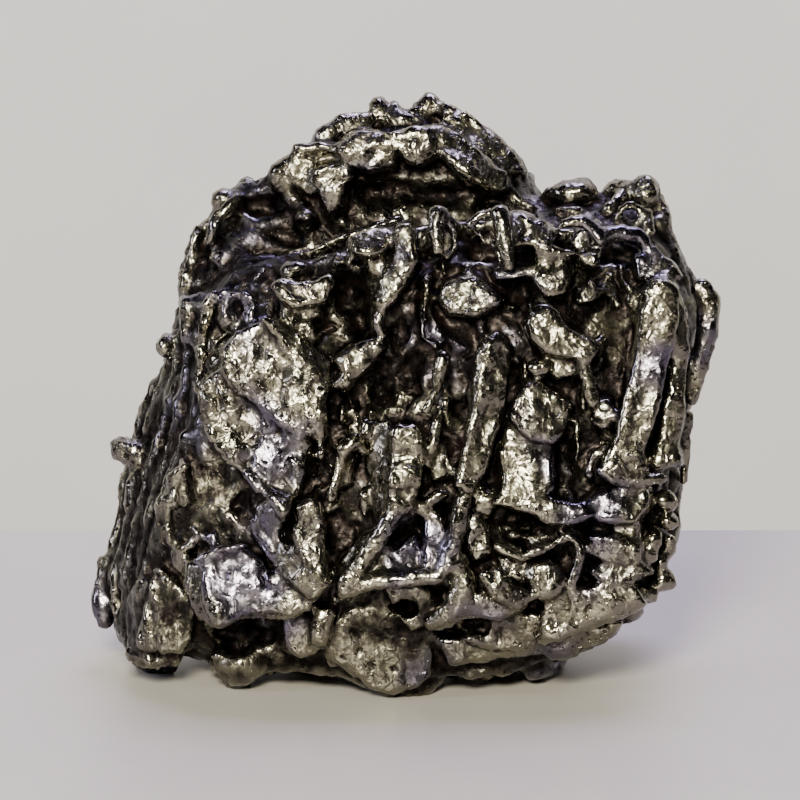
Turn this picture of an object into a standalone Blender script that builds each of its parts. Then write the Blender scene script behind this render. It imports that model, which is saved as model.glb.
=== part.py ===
"""Iron meteorite: one solid lump of coarse nickel-iron, torn open along its crystal plates.

The stone is shaped in a working frame in millimetres: u runs across its ribbed face, v up that
face and w into the stone. At the end it is leaned back by FACE_LEAN, cut flat where it touches
the table, and set down with its origin under the middle of its box. Units are metres, +Z up.
"""

import math
import random

import bmesh
import bpy
from mathutils import Matrix, Vector
from mathutils.bvhtree import BVHTree

# Driving dimensions, in millimetres unless the name says otherwise.
MM = 0.001
FACE_LEAN = math.radians(12)
BLADE_WIDTH = 2.8
FLOOR_OFFSET = -2.13
FLOOR_SLOPE = math.tan(FACE_LEAN)

# How the solid is fused and thinned.
FUSE_VOXEL = 0.5
HOLLOW_VOXEL = 0.55
SOFTEN_PASSES = 2
SOLID_TRIANGLES = 9400

# The crystal directions that its blades follow, as (u, w, v), and the scatter of small blades.
GRAINS = (Vector((-0.25, 0.0, 1.0)), Vector((1.0, 0.2, -0.7)), Vector((0.5, 1.0, 0.3)))
BACK_SEED = 5
WILD_SEED = 11
WILD_PLACES = 520

# The body, level by level: v, u of the face's left and right corners, u of the stone's left and
# right sides, and w of its back.
BODY_LEVELS = (
    (1.6, -14.0, 11.0, -24.0, 15.0, 33.0),
    (5.0, -22.0, 19.0, -28.6, 21.0, 37.0),
    (10.0, -25.0, 23.5, -30.3, 24.5, 40.0),
    (16.0, -24.2, 25.5, -28.7, 27.0, 41.5),
    (22.0, -22.8, 26.0, -27.9, 28.0, 41.5),
    (28.0, -20.2, 26.5, -26.3, 28.3, 40.5),
    (34.0, -19.6, 27.0, -23.7, 29.6, 38.5),
    (40.0, -19.6, 27.6, -22.6, 30.6, 36.0),
    (43.5, -15.0, 25.0, -21.4, 27.6, 34.0),
)


def point(u, v, w):
    """A place on the stone, in metres, before it is leaned back."""
    return Vector((u, w, v)) * MM


def face_depth(u, v):
    """How deep the valleys of the ribbed face lie: it bulges in the middle and tucks in below."""
    across = 3.4 * ((u - 3.0) / 26.0) ** 2
    upward = 2.4 * ((v - 24.0) / 24.0) ** 2
    tuck = max(0.0, min(1.0, (11.0 - v) / 8.0))
    return 4.2 + across + upward + 3.0 * tuck * tuck * (3.0 - 2.0 * tuck)


def floor_height(w):
    """v of the table under a point that lies w into the stone."""
    return FLOOR_SLOPE * w + FLOOR_OFFSET


# ---------------------------------------------------------------- shapes


def loft(bm, rings):
    """A closed body through rings that have the same number of points."""
    made = [[bm.verts.new(point(*p)) for p in ring] for ring in rings]
    for low, high in zip(made, made[1:]):
        for i in range(len(low)):
            j = (i + 1) % len(low)
            bm.faces.new((low[i], low[j], high[j], high[i]))
    bm.faces.new(reversed(made[0]))
    bm.faces.new(made[-1])


def boulder(bm, points):
    """A rough block: the convex hull of its corners."""
    corners = [bm.verts.new(point(*p)) for p in points]
    hull = bmesh.ops.convex_hull(bm, input=corners)
    loose = [v for v in hull["geom_interior"] if isinstance(v, bmesh.types.BMVert)]
    bmesh.ops.delete(bm, geom=loose, context="VERTS")


def plate(bm, outline, rise, tilt=(0.0, 0.0), depth=5.0, flare=0.12, base=None):
    """A crystal plate that stands out of the face: its outline, how far it rises over the valleys,
    and how it slopes across and upwards. It widens by flare towards its root."""
    cu = sum(p[0] for p in outline) / len(outline)
    cv = sum(p[1] for p in outline) / len(outline)
    top = (face_depth(cu, cv) if base is None else base) - rise
    front = bm.faces.new(
        [bm.verts.new(point(u, v, top + tilt[0] * (u - cu) + tilt[1] * (v - cv))) for u, v in outline]
    )
    moved = bmesh.ops.extrude_face_region(bm, geom=[front], use_keep_orig=True)["geom"]
    root = [v for v in moved if isinstance(v, bmesh.types.BMVert)]
    middle = point(cu, cv, 0.0)
    for vert in root:
        vert.co.x = middle.x + (vert.co.x - middle.x) * (1 + flare)
        vert.co.z = middle.z + (vert.co.z - middle.z) * (1 + flare)
        vert.co.y = (top + depth) * MM


def ball_form():
    """The corners and faces of a unit ball, shared by every knob."""
    bm = bmesh.new()
    bmesh.ops.create_icosphere(bm, subdivisions=2, radius=1.0)
    form = [v.co.copy() for v in bm.verts], [[v.index for v in f.verts] for f in bm.faces]
    bm.free()
    return form


BALL = ball_form()


def ridge(bm, path, rise=None, sides=8):
    """A rounded rib along (u, v, radius) points at a given rise over the face, or along
    (u, v, w, radius) points anywhere on the stone, with a round knob at each point."""
    places = [p if len(p) == 4 else (p[0], p[1], face_depth(p[0], p[1]) - rise, p[2]) for p in path]
    for u, v, w, radius in places:
        knob(bm, (u, v, w), (radius,) * 3)
    for a, b in zip(places, places[1:]):
        start, end = point(*a[:3]), point(*b[:3])
        turn = (end - start).to_track_quat("Z", "Y").to_matrix()
        spokes = [
            turn @ Vector((math.cos(math.tau * i / sides), math.sin(math.tau * i / sides), 0.0))
            for i in range(sides)
        ]
        low = [bm.verts.new(start + spoke * a[3] * MM) for spoke in spokes]
        high = [bm.verts.new(end + spoke * b[3] * MM) for spoke in spokes]
        for i in range(sides):
            j = (i + 1) % sides
            bm.faces.new((low[i], low[j], high[j], high[i]))
        bm.faces.new(low[::-1])
        bm.faces.new(high)


def knob(bm, centre, radii):
    """A rounded lump with its three radii along u, v and w."""
    ru, rv, rw = radii
    middle = point(*centre)
    corners, faces = BALL
    verts = [bm.verts.new(middle + Vector((c.x * ru, c.y * rw, c.z * rv)) * MM) for c in corners]
    for face in faces:
        bm.faces.new([verts[i] for i in face])


def body_rings():
    rings = []
    for v, face_left, face_right, side_left, side_right, back in BODY_LEVELS:
        front = (
            (face_left, 1.6),
            (face_left * 0.5 + 1.5, 0.3),
            (3.0, 0.0),
            (face_right * 0.6, 0.3),
            (face_right, 1.0),
        )
        ring = [(u, face_depth(u, v) + w) for u, w in front]
        ring += [
            (side_right, 17.0),
            (side_right - 1.0, back - 11.0),
            (side_right * 0.55, back - 1.5),
            (-2.0, back),
            (side_left * 0.6, back - 2.0),
            (side_left + 1.5, back - 10.0),
            (side_left, 21.0),
        ]
        sink = max(0.0, 1.0 - v / 22.0)
        rings.append([(u, v + sink * (FLOOR_SLOPE * (w - 8.0)), w) for u, w in ring])
    return rings


# ---------------------------------------------------------------- the main masses


def body(bm):
    loft(bm, body_rings())


def cap_mass(bm):
    """The crown that stands behind the ribbed face, above the long cleft."""
    boulder(bm, (
        (-19.5, 42.5, 13.0), (-8.0, 45.5, 14.5), (6.0, 48.0, 15.0), (14.0, 48.5, 16.0),
        (-18.6, 48.6, 16.5), (-13.0, 52.6, 16.0), (-9.0, 54.4, 16.0), (-5.0, 56.2, 16.5),
        (3.0, 57.0, 16.5), (9.8, 53.4, 18.0), (13.8, 50.8, 19.0),
        (-17.3, 50.4, 20.0), (-12.8, 53.1, 20.0), (-6.2, 56.8, 20.0), (4.0, 59.2, 20.0),
        (8.0, 57.4, 21.0), (10.8, 55.0, 22.0), (12.6, 53.0, 23.0), (14.3, 50.9, 24.0),
        (-18.0, 45.0, 31.0), (-12.0, 50.0, 31.0), (-2.0, 53.5, 30.0), (6.0, 54.0, 30.0),
        (12.0, 50.0, 32.0), (15.0, 45.0, 33.0), (-18.0, 38.0, 30.0), (15.0, 38.0, 30.0),
    ))


def shoulder_mass(bm):
    """The lower, lumpy shoulder to the right of the crown."""
    boulder(bm, (
        (13.5, 47.2, 11.5), (20.0, 46.6, 11.5), (25.0, 46.0, 12.0), (28.0, 42.2, 12.5),
        (13.0, 50.2, 18.0), (17.0, 50.8, 18.0), (22.0, 50.2, 17.0), (25.2, 50.2, 17.0),
        (27.0, 45.6, 18.0), (28.2, 43.2, 18.0), (14.5, 49.8, 26.0), (20.0, 49.2, 28.0),
        (25.0, 48.0, 27.0), (27.0, 43.0, 28.0), (27.0, 38.0, 30.0), (14.0, 40.0, 32.0),
    ))


def brow_mass(bm):
    """The top edge of the ribbed face, in front of the cleft."""
    boulder(bm, (
        (-19.4, 40.4, 8.8), (-12.0, 42.0, 8.0), (-5.0, 45.0, 8.0), (4.0, 47.8, 8.4),
        (10.0, 47.9, 8.8), (19.0, 46.8, 9.6), (24.0, 45.4, 10.6), (28.0, 41.2, 12.0),
        (-19.0, 36.0, 20.0), (28.0, 36.0, 20.0), (5.0, 45.0, 18.0), (-10.0, 43.0, 18.0),
    ))


def ear_mass(bm):
    """The tall thin lobe at the left end of the cleft."""
    boulder(bm, (
        (-22.6, 40.5, 21.0), (-22.0, 44.0, 20.0), (-20.9, 47.0, 19.0), (-20.0, 47.5, 19.0),
        (-19.2, 46.4, 18.0), (-19.6, 41.0, 15.0), (-20.6, 38.0, 14.0), (-19.4, 46.0, 26.0),
        (-21.6, 41.0, 28.0), (-20.0, 36.0, 24.0),
    ))


def feet(bm):
    """The lumps that the stone stands on, which reach just below the table so that they end flat."""
    boulder(bm, (
        (-11.0, 4.6, 11.0), (-8.0, 3.4, 10.0), (-4.0, 1.4, 9.2), (-1.0, -0.3, 9.6),
        (2.5, -0.2, 10.2), (4.4, 1.9, 10.8), (3.0, 6.5, 9.2), (-3.0, 7.5, 8.6),
        (-9.0, 7.5, 9.2), (-12.0, 7.5, 10.5), (0.0, 0.4, 14.0), (4.0, 1.6, 16.0),
        (-6.0, 2.0, 18.0), (5.0, 4.0, 20.0), (-10.0, 5.0, 20.0),
    ))
    boulder(bm, (
        (-26.3, 12.0, 10.8), (-22.0, 9.5, 9.8), (-21.0, 6.0, 10.2), (-22.0, 4.2, 11.4),
        (-26.4, 3.5, 13.0), (-27.3, 3.7, 15.0), (-28.2, 6.0, 17.0), (-29.2, 7.4, 20.0),
        (-26.2, 1.9, 22.0), (-23.4, 1.9, 20.5), (-27.8, 4.2, 26.0), (-22.0, 9.0, 26.0),
    ))
    knob(bm, (-16.3, 3.6, 12.4), (3.0, 2.5, 3.0))
    knob(bm, (-16.5, 1.7, 14.0), (1.5, 1.1, 1.6))
    boulder(bm, (
        (5.0, 3.6, 10.0), (9.0, 4.4, 9.6), (13.0, 4.9, 9.6), (13.6, 3.4, 13.0),
        (12.0, 3.0, 14.0), (9.0, 3.4, 13.0), (6.0, 3.0, 12.0), (6.0, 6.0, 14.0), (13.0, 6.0, 14.0),
    ))
    boulder(bm, (
        (14.0, 5.2, 10.0), (20.0, 7.2, 9.6), (22.2, 8.0, 10.0), (22.0, 6.0, 13.0),
        (20.5, 5.0, 15.0), (18.0, 4.2, 14.0), (15.0, 3.4, 14.0), (14.0, 8.0, 14.0), (22.0, 8.0, 17.0),
    ))
    boulder(bm, (
        (11.0, 3.0, 17.0), (12.4, 2.0, 20.5), (14.6, 2.0, 23.2), (17.0, 3.0, 24.5),
        (15.0, 7.0, 14.0), (10.0, 7.0, 16.0), (17.0, 7.0, 25.0), (11.0, 7.0, 25.0),
    ))
    boulder(bm, (
        (-11.0, 3.9, 31.0), (-6.4, 4.1, 33.0), (-8.5, 4.1, 34.0), (-7.0, 9.0, 37.0), (-12.0, 9.0, 35.0), (-9.0, 10.0, 27.0),
    ))
    boulder(bm, (
        (8.0, 4.1, 32.0), (12.0, 4.3, 34.0), (9.5, 4.4, 35.0), (13.0, 10.0, 37.5), (7.0, 10.0, 38.0), (10.0, 11.0, 28.0),
    ))


# ---------------------------------------------------------------- the crown


def crown_slabs(bm):
    """The roof of the cap: a bright rim with pitted plates under it, and two long slabs beside it."""
    plate(
        bm,
        ((-6.2, 55.6), (-4.6, 56.7), (-3.2, 57.2), (-1.4, 56.8), (0.2, 56.9), (1.6, 57.4), (3.0, 57.1),
         (3.6, 56.0), (2.6, 55.2), (0.0, 55.0), (-3.0, 55.3), (-5.2, 54.8)),
        4.6, tilt=(0.0, 0.3), base=16.4,
    )
    plate(bm, ((-6.4, 54.9), (-5.0, 55.6), (-2.8, 54.6), (-2.0, 53.0), (-3.4, 52.6), (-5.4, 53.6)), 4.4, base=16.0)
    plate(bm, ((-2.8, 55.4), (-0.6, 55.4), (-0.4, 53.4), (-2.0, 53.0)), 4.0, base=16.0)
    plate(bm, ((-0.4, 55.8), (3.4, 56.2), (3.6, 54.4), (2.0, 53.4), (0.4, 54.0)), 4.2, tilt=(0.0, 0.1), base=16.0)
    plate(
        bm,
        ((3.0, 57.4), (4.4, 57.6), (7.6, 55.2), (10.8, 52.4), (10.6, 50.6), (8.6, 50.4), (6.6, 52.4),
         (3.8, 54.6)),
        4.2, tilt=(0.3, 0.3), base=16.6,
    )
    plate(bm, ((4.6, 54.8), (6.2, 54.4), (8.8, 52.0), (8.6, 50.8), (6.8, 51.8), (5.0, 53.6)), 4.9, tilt=(0.25, 0.2), base=16.6)
    plate(
        bm,
        ((4.1, 59.9), (5.4, 59.5), (9.6, 56.9), (12.4, 54.0), (12.8, 52.6), (11.4, 52.6), (8.0, 55.4),
         (4.3, 58.2)),
        3.2, tilt=(0.15, 0.3), flare=0.02, base=19.0,
    )
    plate(
        bm,
        ((-11.2, 54.2), (-10.0, 55.3), (-7.0, 55.8), (-5.4, 55.2), (-5.6, 53.2), (-6.4, 50.6),
         (-9.2, 50.4), (-11.0, 52.0)),
        3.0, tilt=(0.1, 0.15), base=16.6,
    )
    ridge(bm, ((-10.4, 55.0, 13.8, 0.5), (-8.0, 55.3, 13.4, 0.5), (-5.8, 55.0, 13.2, 0.5)))
    ridge(bm, ((-8.0, 56.3, 16.4, 1.0), (-5.6, 57.6, 16.8, 1.1), (-3.6, 58.0, 17.2, 0.9)))


def crown_front(bm):
    plate(
        bm,
        ((-8.8, 52.8), (-8.0, 53.4), (-5.5, 53.4), (-4.8, 52.4), (-5.6, 50.6), (-5.8, 48.3),
         (-5.4, 47.4), (-7.4, 48.0), (-8.0, 50.2), (-8.8, 51.4)),
        3.9, base=16.0,
    )
    plate(bm, ((-13.0, 53.2), (-11.2, 54.2), (-10.4, 52.0), (-11.5, 51.0), (-13.0, 51.6)), 2.6, base=16.4)
    knob(bm, (-9.5, 48.0, 13.2), (1.5, 1.4, 1.6))
    knob(bm, (-17.6, 49.8, 17.0), (1.5, 1.4, 1.5))
    knob(bm, (-15.6, 51.0, 17.6), (1.7, 0.9, 1.3))
    ridge(bm, ((-19.3, 45.8, 14.0, 0.6), (-18.4, 48.4, 14.2, 0.7), (-16.2, 50.0, 15.0, 0.7)))
    ridge(bm, ((-20.4, 47.1, 17.6, 0.7), (-21.5, 43.5, 17.2, 0.8), (-21.8, 41.0, 16.8, 0.7)))
    ridge(bm, ((-11.8, 51.4, 15.2, 0.9), (-10.6, 49.6, 14.2, 0.9)))


def crown_knobs(bm):
    """The two dark clusters on the very top, with a notch between them."""
    knob(bm, (0.6, 58.2, 19.2), (3.2, 1.1, 1.8))
    for u, v, ru, rv in (
        (-2.2, 59.3, 1.1, 1.3), (-3.0, 58.3, 0.9, 1.0), (-1.2, 58.7, 0.9, 0.9),
        (-0.6, 59.3, 0.4, 0.8), (2.9, 59.7, 1.0, 1.4), (2.0, 59.1, 0.9, 1.0), (3.7, 59.2, 0.7, 0.9),
    ):
        knob(bm, (u, v, 19.2), (ru, rv, 1.2))


def shoulder_lumps(bm):
    knob(bm, (17.3, 50.6, 17.2), (3.0, 1.3, 2.4))
    knob(bm, (18.4, 51.2, 17.4), (1.4, 0.9, 1.4))
    knob(bm, (24.8, 50.6, 16.4), (1.5, 1.9, 1.7))
    knob(bm, (22.6, 51.0, 18.0), (2.0, 1.1, 1.8))
    ridge(bm, ((22.9, 51.4, 17.0, 0.7), (22.4, 50.3, 15.6, 0.6), (21.2, 49.3, 14.4, 0.6)))
    ridge(bm, ((26.0, 50.0, 17.0, 0.8), (26.8, 47.0, 16.0, 0.8), (27.7, 44.6, 16.0, 0.8), (28.3, 43.4, 16.0, 0.7)))
    ridge(bm, ((25.0, 48.6, 13.6, 0.7), (25.2, 46.8, 12.6, 0.6)))
    ring(bm, (23.3, 48.4, 13.2), 1.1, 0.4)
    knob(bm, (17.0, 49.0, 14.4), (1.8, 0.6, 1.4))
    knob(bm, (28.4, 43.3, 17.0), (0.7, 0.9, 0.9))


# ---------------------------------------------------------------- the brow of the ribbed face


def ring(bm, centre, radius, rib, start=0, sweep=360, steps=10):
    """A raised rim round a small pit."""
    u, v, w = centre
    angles = [math.radians(start + sweep * i / steps) for i in range(steps + 1)]
    ridge(bm, [(u + radius * math.cos(a), v + radius * math.sin(a), w, rib) for a in angles], sides=6)


def brow_left(bm):
    knob(bm, (-16.2, 38.6, 6.2), (2.2, 2.4, 2.2))
    ring(bm, (-16.2, 39.0, 4.4), 1.5, 0.4, start=-60, sweep=300)
    plate(bm, ((-18.2, 37.8), (-17.5, 36.9), (-16.0, 36.4), (-15.2, 37.4), (-16.5, 37.9)), 2.4)
    ridge(bm, ((-19.6, 39.0, 0.4), (-19.2, 39.9, 0.4), (-18.5, 40.4, 0.4)), 1.4)
    ridge(bm, ((-19.0, 39.5, 0.45), (-19.7, 37.0, 0.5), (-20.1, 33.0, 0.5), (-20.2, 31.0, 0.5)), 1.0)
    plate(
        bm,
        ((-12.8, 41.0), (-11.5, 41.8), (-10.0, 41.4), (-8.2, 41.4), (-7.0, 42.3), (-6.4, 40.7),
         (-7.5, 39.5), (-10.0, 38.9), (-11.7, 39.3)),
        4.4, tilt=(0.0, 0.25),
    )
    plate(bm, ((-11.8, 39.6), (-8.6, 39.6), (-7.6, 38.0), (-8.0, 35.6), (-10.0, 35.9), (-11.6, 37.5)), 3.0)
    knob(bm, (-10.5, 42.7, 7.4), (2.1, 0.9, 1.7))
    knob(bm, (-6.7, 43.5, 8.0), (1.7, 1.0, 1.7))
    plate(
        bm,
        ((-5.0, 45.7), (-3.5, 46.6), (-1.5, 46.9), (-0.4, 46.2), (-1.4, 44.6), (-3.5, 44.1), (-4.8, 44.6)),
        4.2, tilt=(0.0, 0.6),
    )
    ridge(bm, ((-5.0, 45.4, 0.4), (-4.8, 44.4, 0.35), (-5.2, 43.3, 0.35)), 3.4)
    plate(bm, ((-3.5, 44.0), (-1.5, 44.2), (-1.8, 42.2), (-3.0, 42.4)), 2.6)
    ridge(
        bm,
        ((-17.0, 42.4, 9.8, 0.5), (-13.0, 43.7, 9.8, 0.5), (-9.0, 44.7, 10.2, 0.5), (-5.5, 46.2, 10.6, 0.5),
         (0.0, 47.9, 11.0, 0.5)),
    )


def brow_middle(bm):
    plate(
        bm,
        ((-0.3, 46.9), (0.9, 47.4), (1.5, 46.2), (1.7, 43.4), (1.0, 41.8), (-0.8, 39.5), (-1.8, 39.0),
         (-2.6, 39.6), (-1.4, 42.7), (-0.6, 44.7)),
        4.6, tilt=(-0.2, 0.12),
    )
    plate(bm, ((-3.0, 43.5), (-1.4, 43.0), (-1.9, 40.5), (-2.9, 39.8), (-4.0, 41.5)), 1.8)
    ridge(bm, ((3.7, 48.2, 0.9), (3.6, 47.0, 0.8), (3.8, 44.6, 0.7)), 4.6)
    ridge(bm, ((4.0, 48.3, 0.5), (5.2, 47.2, 0.5), (5.6, 44.9, 0.5), (4.6, 43.8, 0.4)), 3.7)
    plate(bm, ((3.8, 47.5), (5.0, 47.0), (5.4, 45.0), (4.2, 44.2)), 2.8)
    ridge(bm, ((6.8, 47.2, 0.4), (8.0, 48.1, 0.45), (10.0, 48.5, 0.45)), 3.6)
    ridge(bm, ((6.8, 47.2, 0.35), (8.0, 46.2, 0.35), (8.6, 45.2, 0.35)), 3.0)
    ridge(bm, ((9.8, 48.2, 0.8), (10.1, 46.6, 0.9), (10.6, 45.0, 0.85), (11.0, 43.0, 0.65)), 5.0)
    plate(
        bm,
        ((10.0, 48.5), (12.0, 48.4), (14.5, 47.6), (16.0, 46.4), (15.0, 45.4), (12.5, 45.2), (10.6, 45.0)),
        4.2, tilt=(0.15, 0.5),
    )
    plate(bm, ((9.4, 42.9), (13.0, 43.2), (12.8, 41.8), (9.6, 41.7)), 3.8, tilt=(0.0, 0.4))
    plate(bm, ((2.0, 42.2), (3.2, 42.6), (3.2, 38.8), (4.6, 36.0), (4.2, 35.2), (2.2, 35.8), (1.8, 39.0)), 1.8)
    ridge(bm, ((2.6, 41.8, 0.4), (2.4, 38.6, 0.4), (2.2, 36.0, 0.4), (3.6, 35.0, 0.4)), 2.6)


def brow_right(bm):
    knob(bm, (18.6, 45.3, 7.4), (1.9, 2.2, 1.9))
    ring(bm, (18.8, 45.5, 5.9), 1.2, 0.5, start=-40, sweep=290)
    plate(bm, ((17.6, 44.3), (20.0, 44.5), (19.6, 43.1), (18.4, 42.9)), 3.8)
    ridge(bm, ((16.4, 47.4, 0.6), (18.0, 47.7, 0.6), (19.4, 46.8, 0.55), (20.2, 45.5, 0.5)), 3.2)
    plate(
        bm,
        ((13.4, 44.4), (15.0, 44.3), (16.4, 44.0), (16.9, 42.2), (16.2, 40.4), (14.6, 39.9), (13.5, 41.2),
         (13.4, 42.8)),
        4.0, tilt=(0.1, 0.2),
    )
    ridge(bm, ((13.6, 44.6, 0.5), (15.6, 44.5, 0.55), (17.6, 44.4, 0.5)), 4.0)
    ridge(bm, ((19.2, 42.0, 0.5), (19.2, 41.0, 0.6)), 3.4)
    plate(bm, ((17.4, 40.7), (19.2, 41.3), (21.0, 40.8), (19.4, 39.5), (17.8, 39.4)), 3.2, tilt=(0.0, 0.4))
    ridge(bm, ((20.0, 46.2, 0.7), (22.0, 46.5, 0.75), (24.0, 46.2, 0.75), (25.2, 44.9, 0.7), (26.2, 43.0, 0.7)), 2.2)
    plate(
        bm,
        ((23.6, 44.1), (25.5, 44.6), (27.2, 43.7), (28.4, 42.0), (26.0, 41.8), (23.8, 42.0)),
        3.0, tilt=(0.1, 0.3),
    )
    ridge(bm, ((22.5, 44.0, 0.45), (21.8, 43.0, 0.45), (22.4, 41.8, 0.45)), 2.2)


# ---------------------------------------------------------------- the ribbed face, left of the middle


def wrinkled_plate(bm):
    """The largest plate of the face: two crumpled leaves, a smooth roll and a crisp lower rim."""
    plate(
        bm,
        ((-17.6, 35.0), (-16.0, 36.8), (-13.8, 37.5), (-12.4, 36.8), (-10.0, 34.8), (-8.0, 32.8),
         (-7.2, 30.6), (-7.5, 27.8), (-10.0, 26.0), (-12.0, 27.2), (-14.6, 29.2), (-16.6, 30.8),
         (-17.9, 32.6)),
        4.7, tilt=(0.03, 0.04), flare=0.06,
    )
    plate(
        bm,
        ((-13.9, 37.9), (-12.2, 37.6), (-9.6, 35.8), (-7.2, 33.4), (-6.8, 30.6), (-8.0, 30.6),
         (-10.6, 34.0), (-13.0, 36.6)),
        4.4, tilt=(0.45, 0.1), flare=0.04,
    )
    plate(
        bm,
        ((-19.6, 31.4), (-18.4, 32.6), (-16.6, 30.9), (-14.6, 29.3), (-12.0, 27.3), (-9.8, 26.0),
         (-9.0, 25.6), (-9.6, 22.6), (-10.4, 19.6), (-11.6, 19.5), (-13.8, 20.9), (-15.6, 22.8),
         (-17.6, 24.7), (-19.2, 26.8), (-19.8, 29.2)),
        4.1, tilt=(-0.03, 0.06), flare=0.04,
    )
    ridge(
        bm,
        ((-19.6, 31.0, 0.45), (-19.8, 28.6, 0.5), (-19.0, 26.6, 0.5), (-17.4, 24.6, 0.5),
         (-15.6, 22.7, 0.5), (-13.8, 20.9, 0.55), (-11.4, 19.5, 0.6)),
        4.3,
    )
    for u, v, r in ((-10.8, 37.6, 1.1), (-9.2, 37.0, 0.95), (-8.1, 36.1, 0.85), (-11.4, 38.3, 0.7)):
        knob(bm, (u, v, 3.0), (r, r * 0.8, r))


def rough_valley(bm):
    """The broken ground between the wrinkled plate and the fingers."""
    plate(
        bm,
        ((-6.5, 31.2), (-5.6, 32.6), (-6.6, 33.7), (-5.2, 35.2), (-2.9, 36.0), (-1.4, 35.2),
         (-2.4, 33.8), (-4.0, 32.4), (-5.4, 30.8)),
        4.0, tilt=(0.1, 0.05), flare=0.06,
    )
    ridge(bm, ((-1.8, 39.4, 0.55), (-2.2, 37.4, 0.55), (-1.6, 36.0, 0.5)), 3.4)
    ridge(bm, ((-4.4, 25.9, 0.7), (-5.8, 24.7, 0.75), (-6.4, 22.3, 0.7), (-6.9, 19.9, 0.6)), 3.2)
    ridge(bm, ((-4.5, 25.8, 0.5), (-3.7, 24.6, 0.45)), 3.0)
    plate(bm, ((-6.0, 24.6), (-4.6, 24.4), (-4.8, 21.4), (-6.2, 20.6)), 2.6)
    for u, v, ru, rv, rise in (
        (-8.0, 26.6, 0.7, 1.3, 2.8), (-3.4, 27.0, 0.6, 1.3, 2.4), (-3.6, 19.6, 0.6, 1.7, 1.8),
        (-6.2, 18.5, 0.8, 0.8, 2.0), (-7.2, 28.2, 0.7, 1.0, 2.2), (-3.0, 23.2, 0.6, 1.4, 1.6),
        (-7.9, 24.4, 0.6, 0.9, 3.0), (-5.8, 28.4, 0.5, 1.4, 1.4),
    ):
        knob(bm, (u, v, face_depth(u, v) - rise), (ru, rv, 0.9))


# ---------------------------------------------------------------- the fingers


def left_finger(bm):
    """A flat-topped rib in steps, whose tail runs down to the lip."""
    plate(
        bm,
        ((-1.0, 26.6), (-0.2, 27.3), (1.4, 27.3), (2.2, 26.4), (2.3, 24.9), (-0.9, 24.8)),
        4.8, tilt=(0.05, 0.1), flare=0.04,
    )
    plate(bm, ((-0.9, 24.9), (2.3, 24.9), (2.1, 23.1), (-1.0, 23.0)), 4.5, tilt=(0.1, 0.1), flare=0.04)
    plate(bm, ((-1.0, 23.1), (2.0, 23.2), (1.9, 21.4), (-1.1, 21.2)), 4.8, tilt=(0.1, 0.05), flare=0.04)
    plate(
        bm,
        ((-1.1, 21.3), (1.9, 21.5), (1.4, 19.2), (0.2, 18.2), (-0.9, 16.6), (-1.9, 16.8), (-1.2, 19.0)),
        4.5, tilt=(0.1, 0.0), flare=0.04,
    )
    ridge(bm, ((-1.3, 17.6, 0.9), (-2.6, 15.4, 1.0), (-4.2, 13.4, 1.0), (-5.4, 11.6, 0.95)), 4.1)
    plate(bm, ((-3.2, 16.9), (-2.2, 16.2), (-5.0, 12.0), (-6.6, 12.6), (-5.6, 14.4)), 3.7, tilt=(-0.3, 0.0))
    plate(bm, ((-3.2, 27.6), (-1.2, 27.8), (-1.0, 18.2), (-2.4, 17.2), (-2.8, 21.6)), 3.0, tilt=(-0.7, 0.0), flare=0.0)
    ridge(bm, ((4.2, 34.0, 0.7), (3.9, 32.6, 0.75), (3.6, 30.8, 0.65), (2.6, 28.8, 0.45)), 4.0)
    ridge(bm, ((4.0, 28.9, 0.55), (3.6, 27.0, 0.6), (3.2, 25.0, 0.55), (2.9, 23.4, 0.5)), 3.2)
    plate(bm, ((2.7, 25.4), (4.8, 25.7), (4.8, 21.9), (3.0, 21.6)), 2.2, tilt=(0.15, 0.0))
    ridge(bm, ((4.7, 24.0, 0.4), (5.2, 22.2, 0.4)), 2.4)


def long_finger(bm):
    """The longest rib: a flat blade with a rounded top."""
    plate(
        bm,
        ((7.6, 34.6), (8.3, 36.0), (9.6, 36.5), (10.6, 35.8), (10.8, 34.0), (10.4, 31.0), (9.8, 27.7),
         (9.0, 24.7), (8.2, 22.2), (7.0, 20.5), (5.5, 21.4), (6.1, 24.2), (6.6, 27.2), (7.0, 30.2)),
        5.0, tilt=(0.22, 0.0), flare=0.03,
    )
    ridge(bm, ((8.9, 35.2, 0.95), (8.3, 32.4, 0.8), (7.6, 29.2, 0.7), (7.0, 26.2, 0.6), (6.4, 23.4, 0.5)), 4.9)
    plate(bm, ((7.4, 20.9), (9.2, 21.2), (9.8, 19.6), (9.0, 18.4), (7.2, 18.6)), 3.0, tilt=(0.1, 0.0))
    ridge(bm, ((6.2, 19.8, 0.8), (5.6, 16.8, 0.9), (4.8, 13.9, 0.95), (3.7, 12.3, 0.85)), 3.8)
    ridge(bm, ((3.6, 12.2, 0.8), (0.6, 12.0, 0.8), (-2.6, 11.7, 0.85), (-5.4, 10.9, 0.9)), 4.0)
    plate(bm, ((-4.0, 12.6), (-3.0, 15.4), (-0.8, 15.4), (-0.4, 12.2)), 3.5, tilt=(0.0, 0.2))
    plate(bm, ((0.0, 15.2), (1.6, 16.6), (2.2, 12.4), (-0.6, 12.4)), 3.2, tilt=(0.2, 0.0))
    plate(bm, ((2.4, 18.6), (4.4, 18.6), (4.0, 12.6), (2.4, 12.4)), 3.8, tilt=(0.0, 0.05))
    ridge(bm, ((0.4, 18.0, 0.6), (2.4, 19.2, 0.6), (4.4, 20.6, 0.5)), 3.0)


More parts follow.
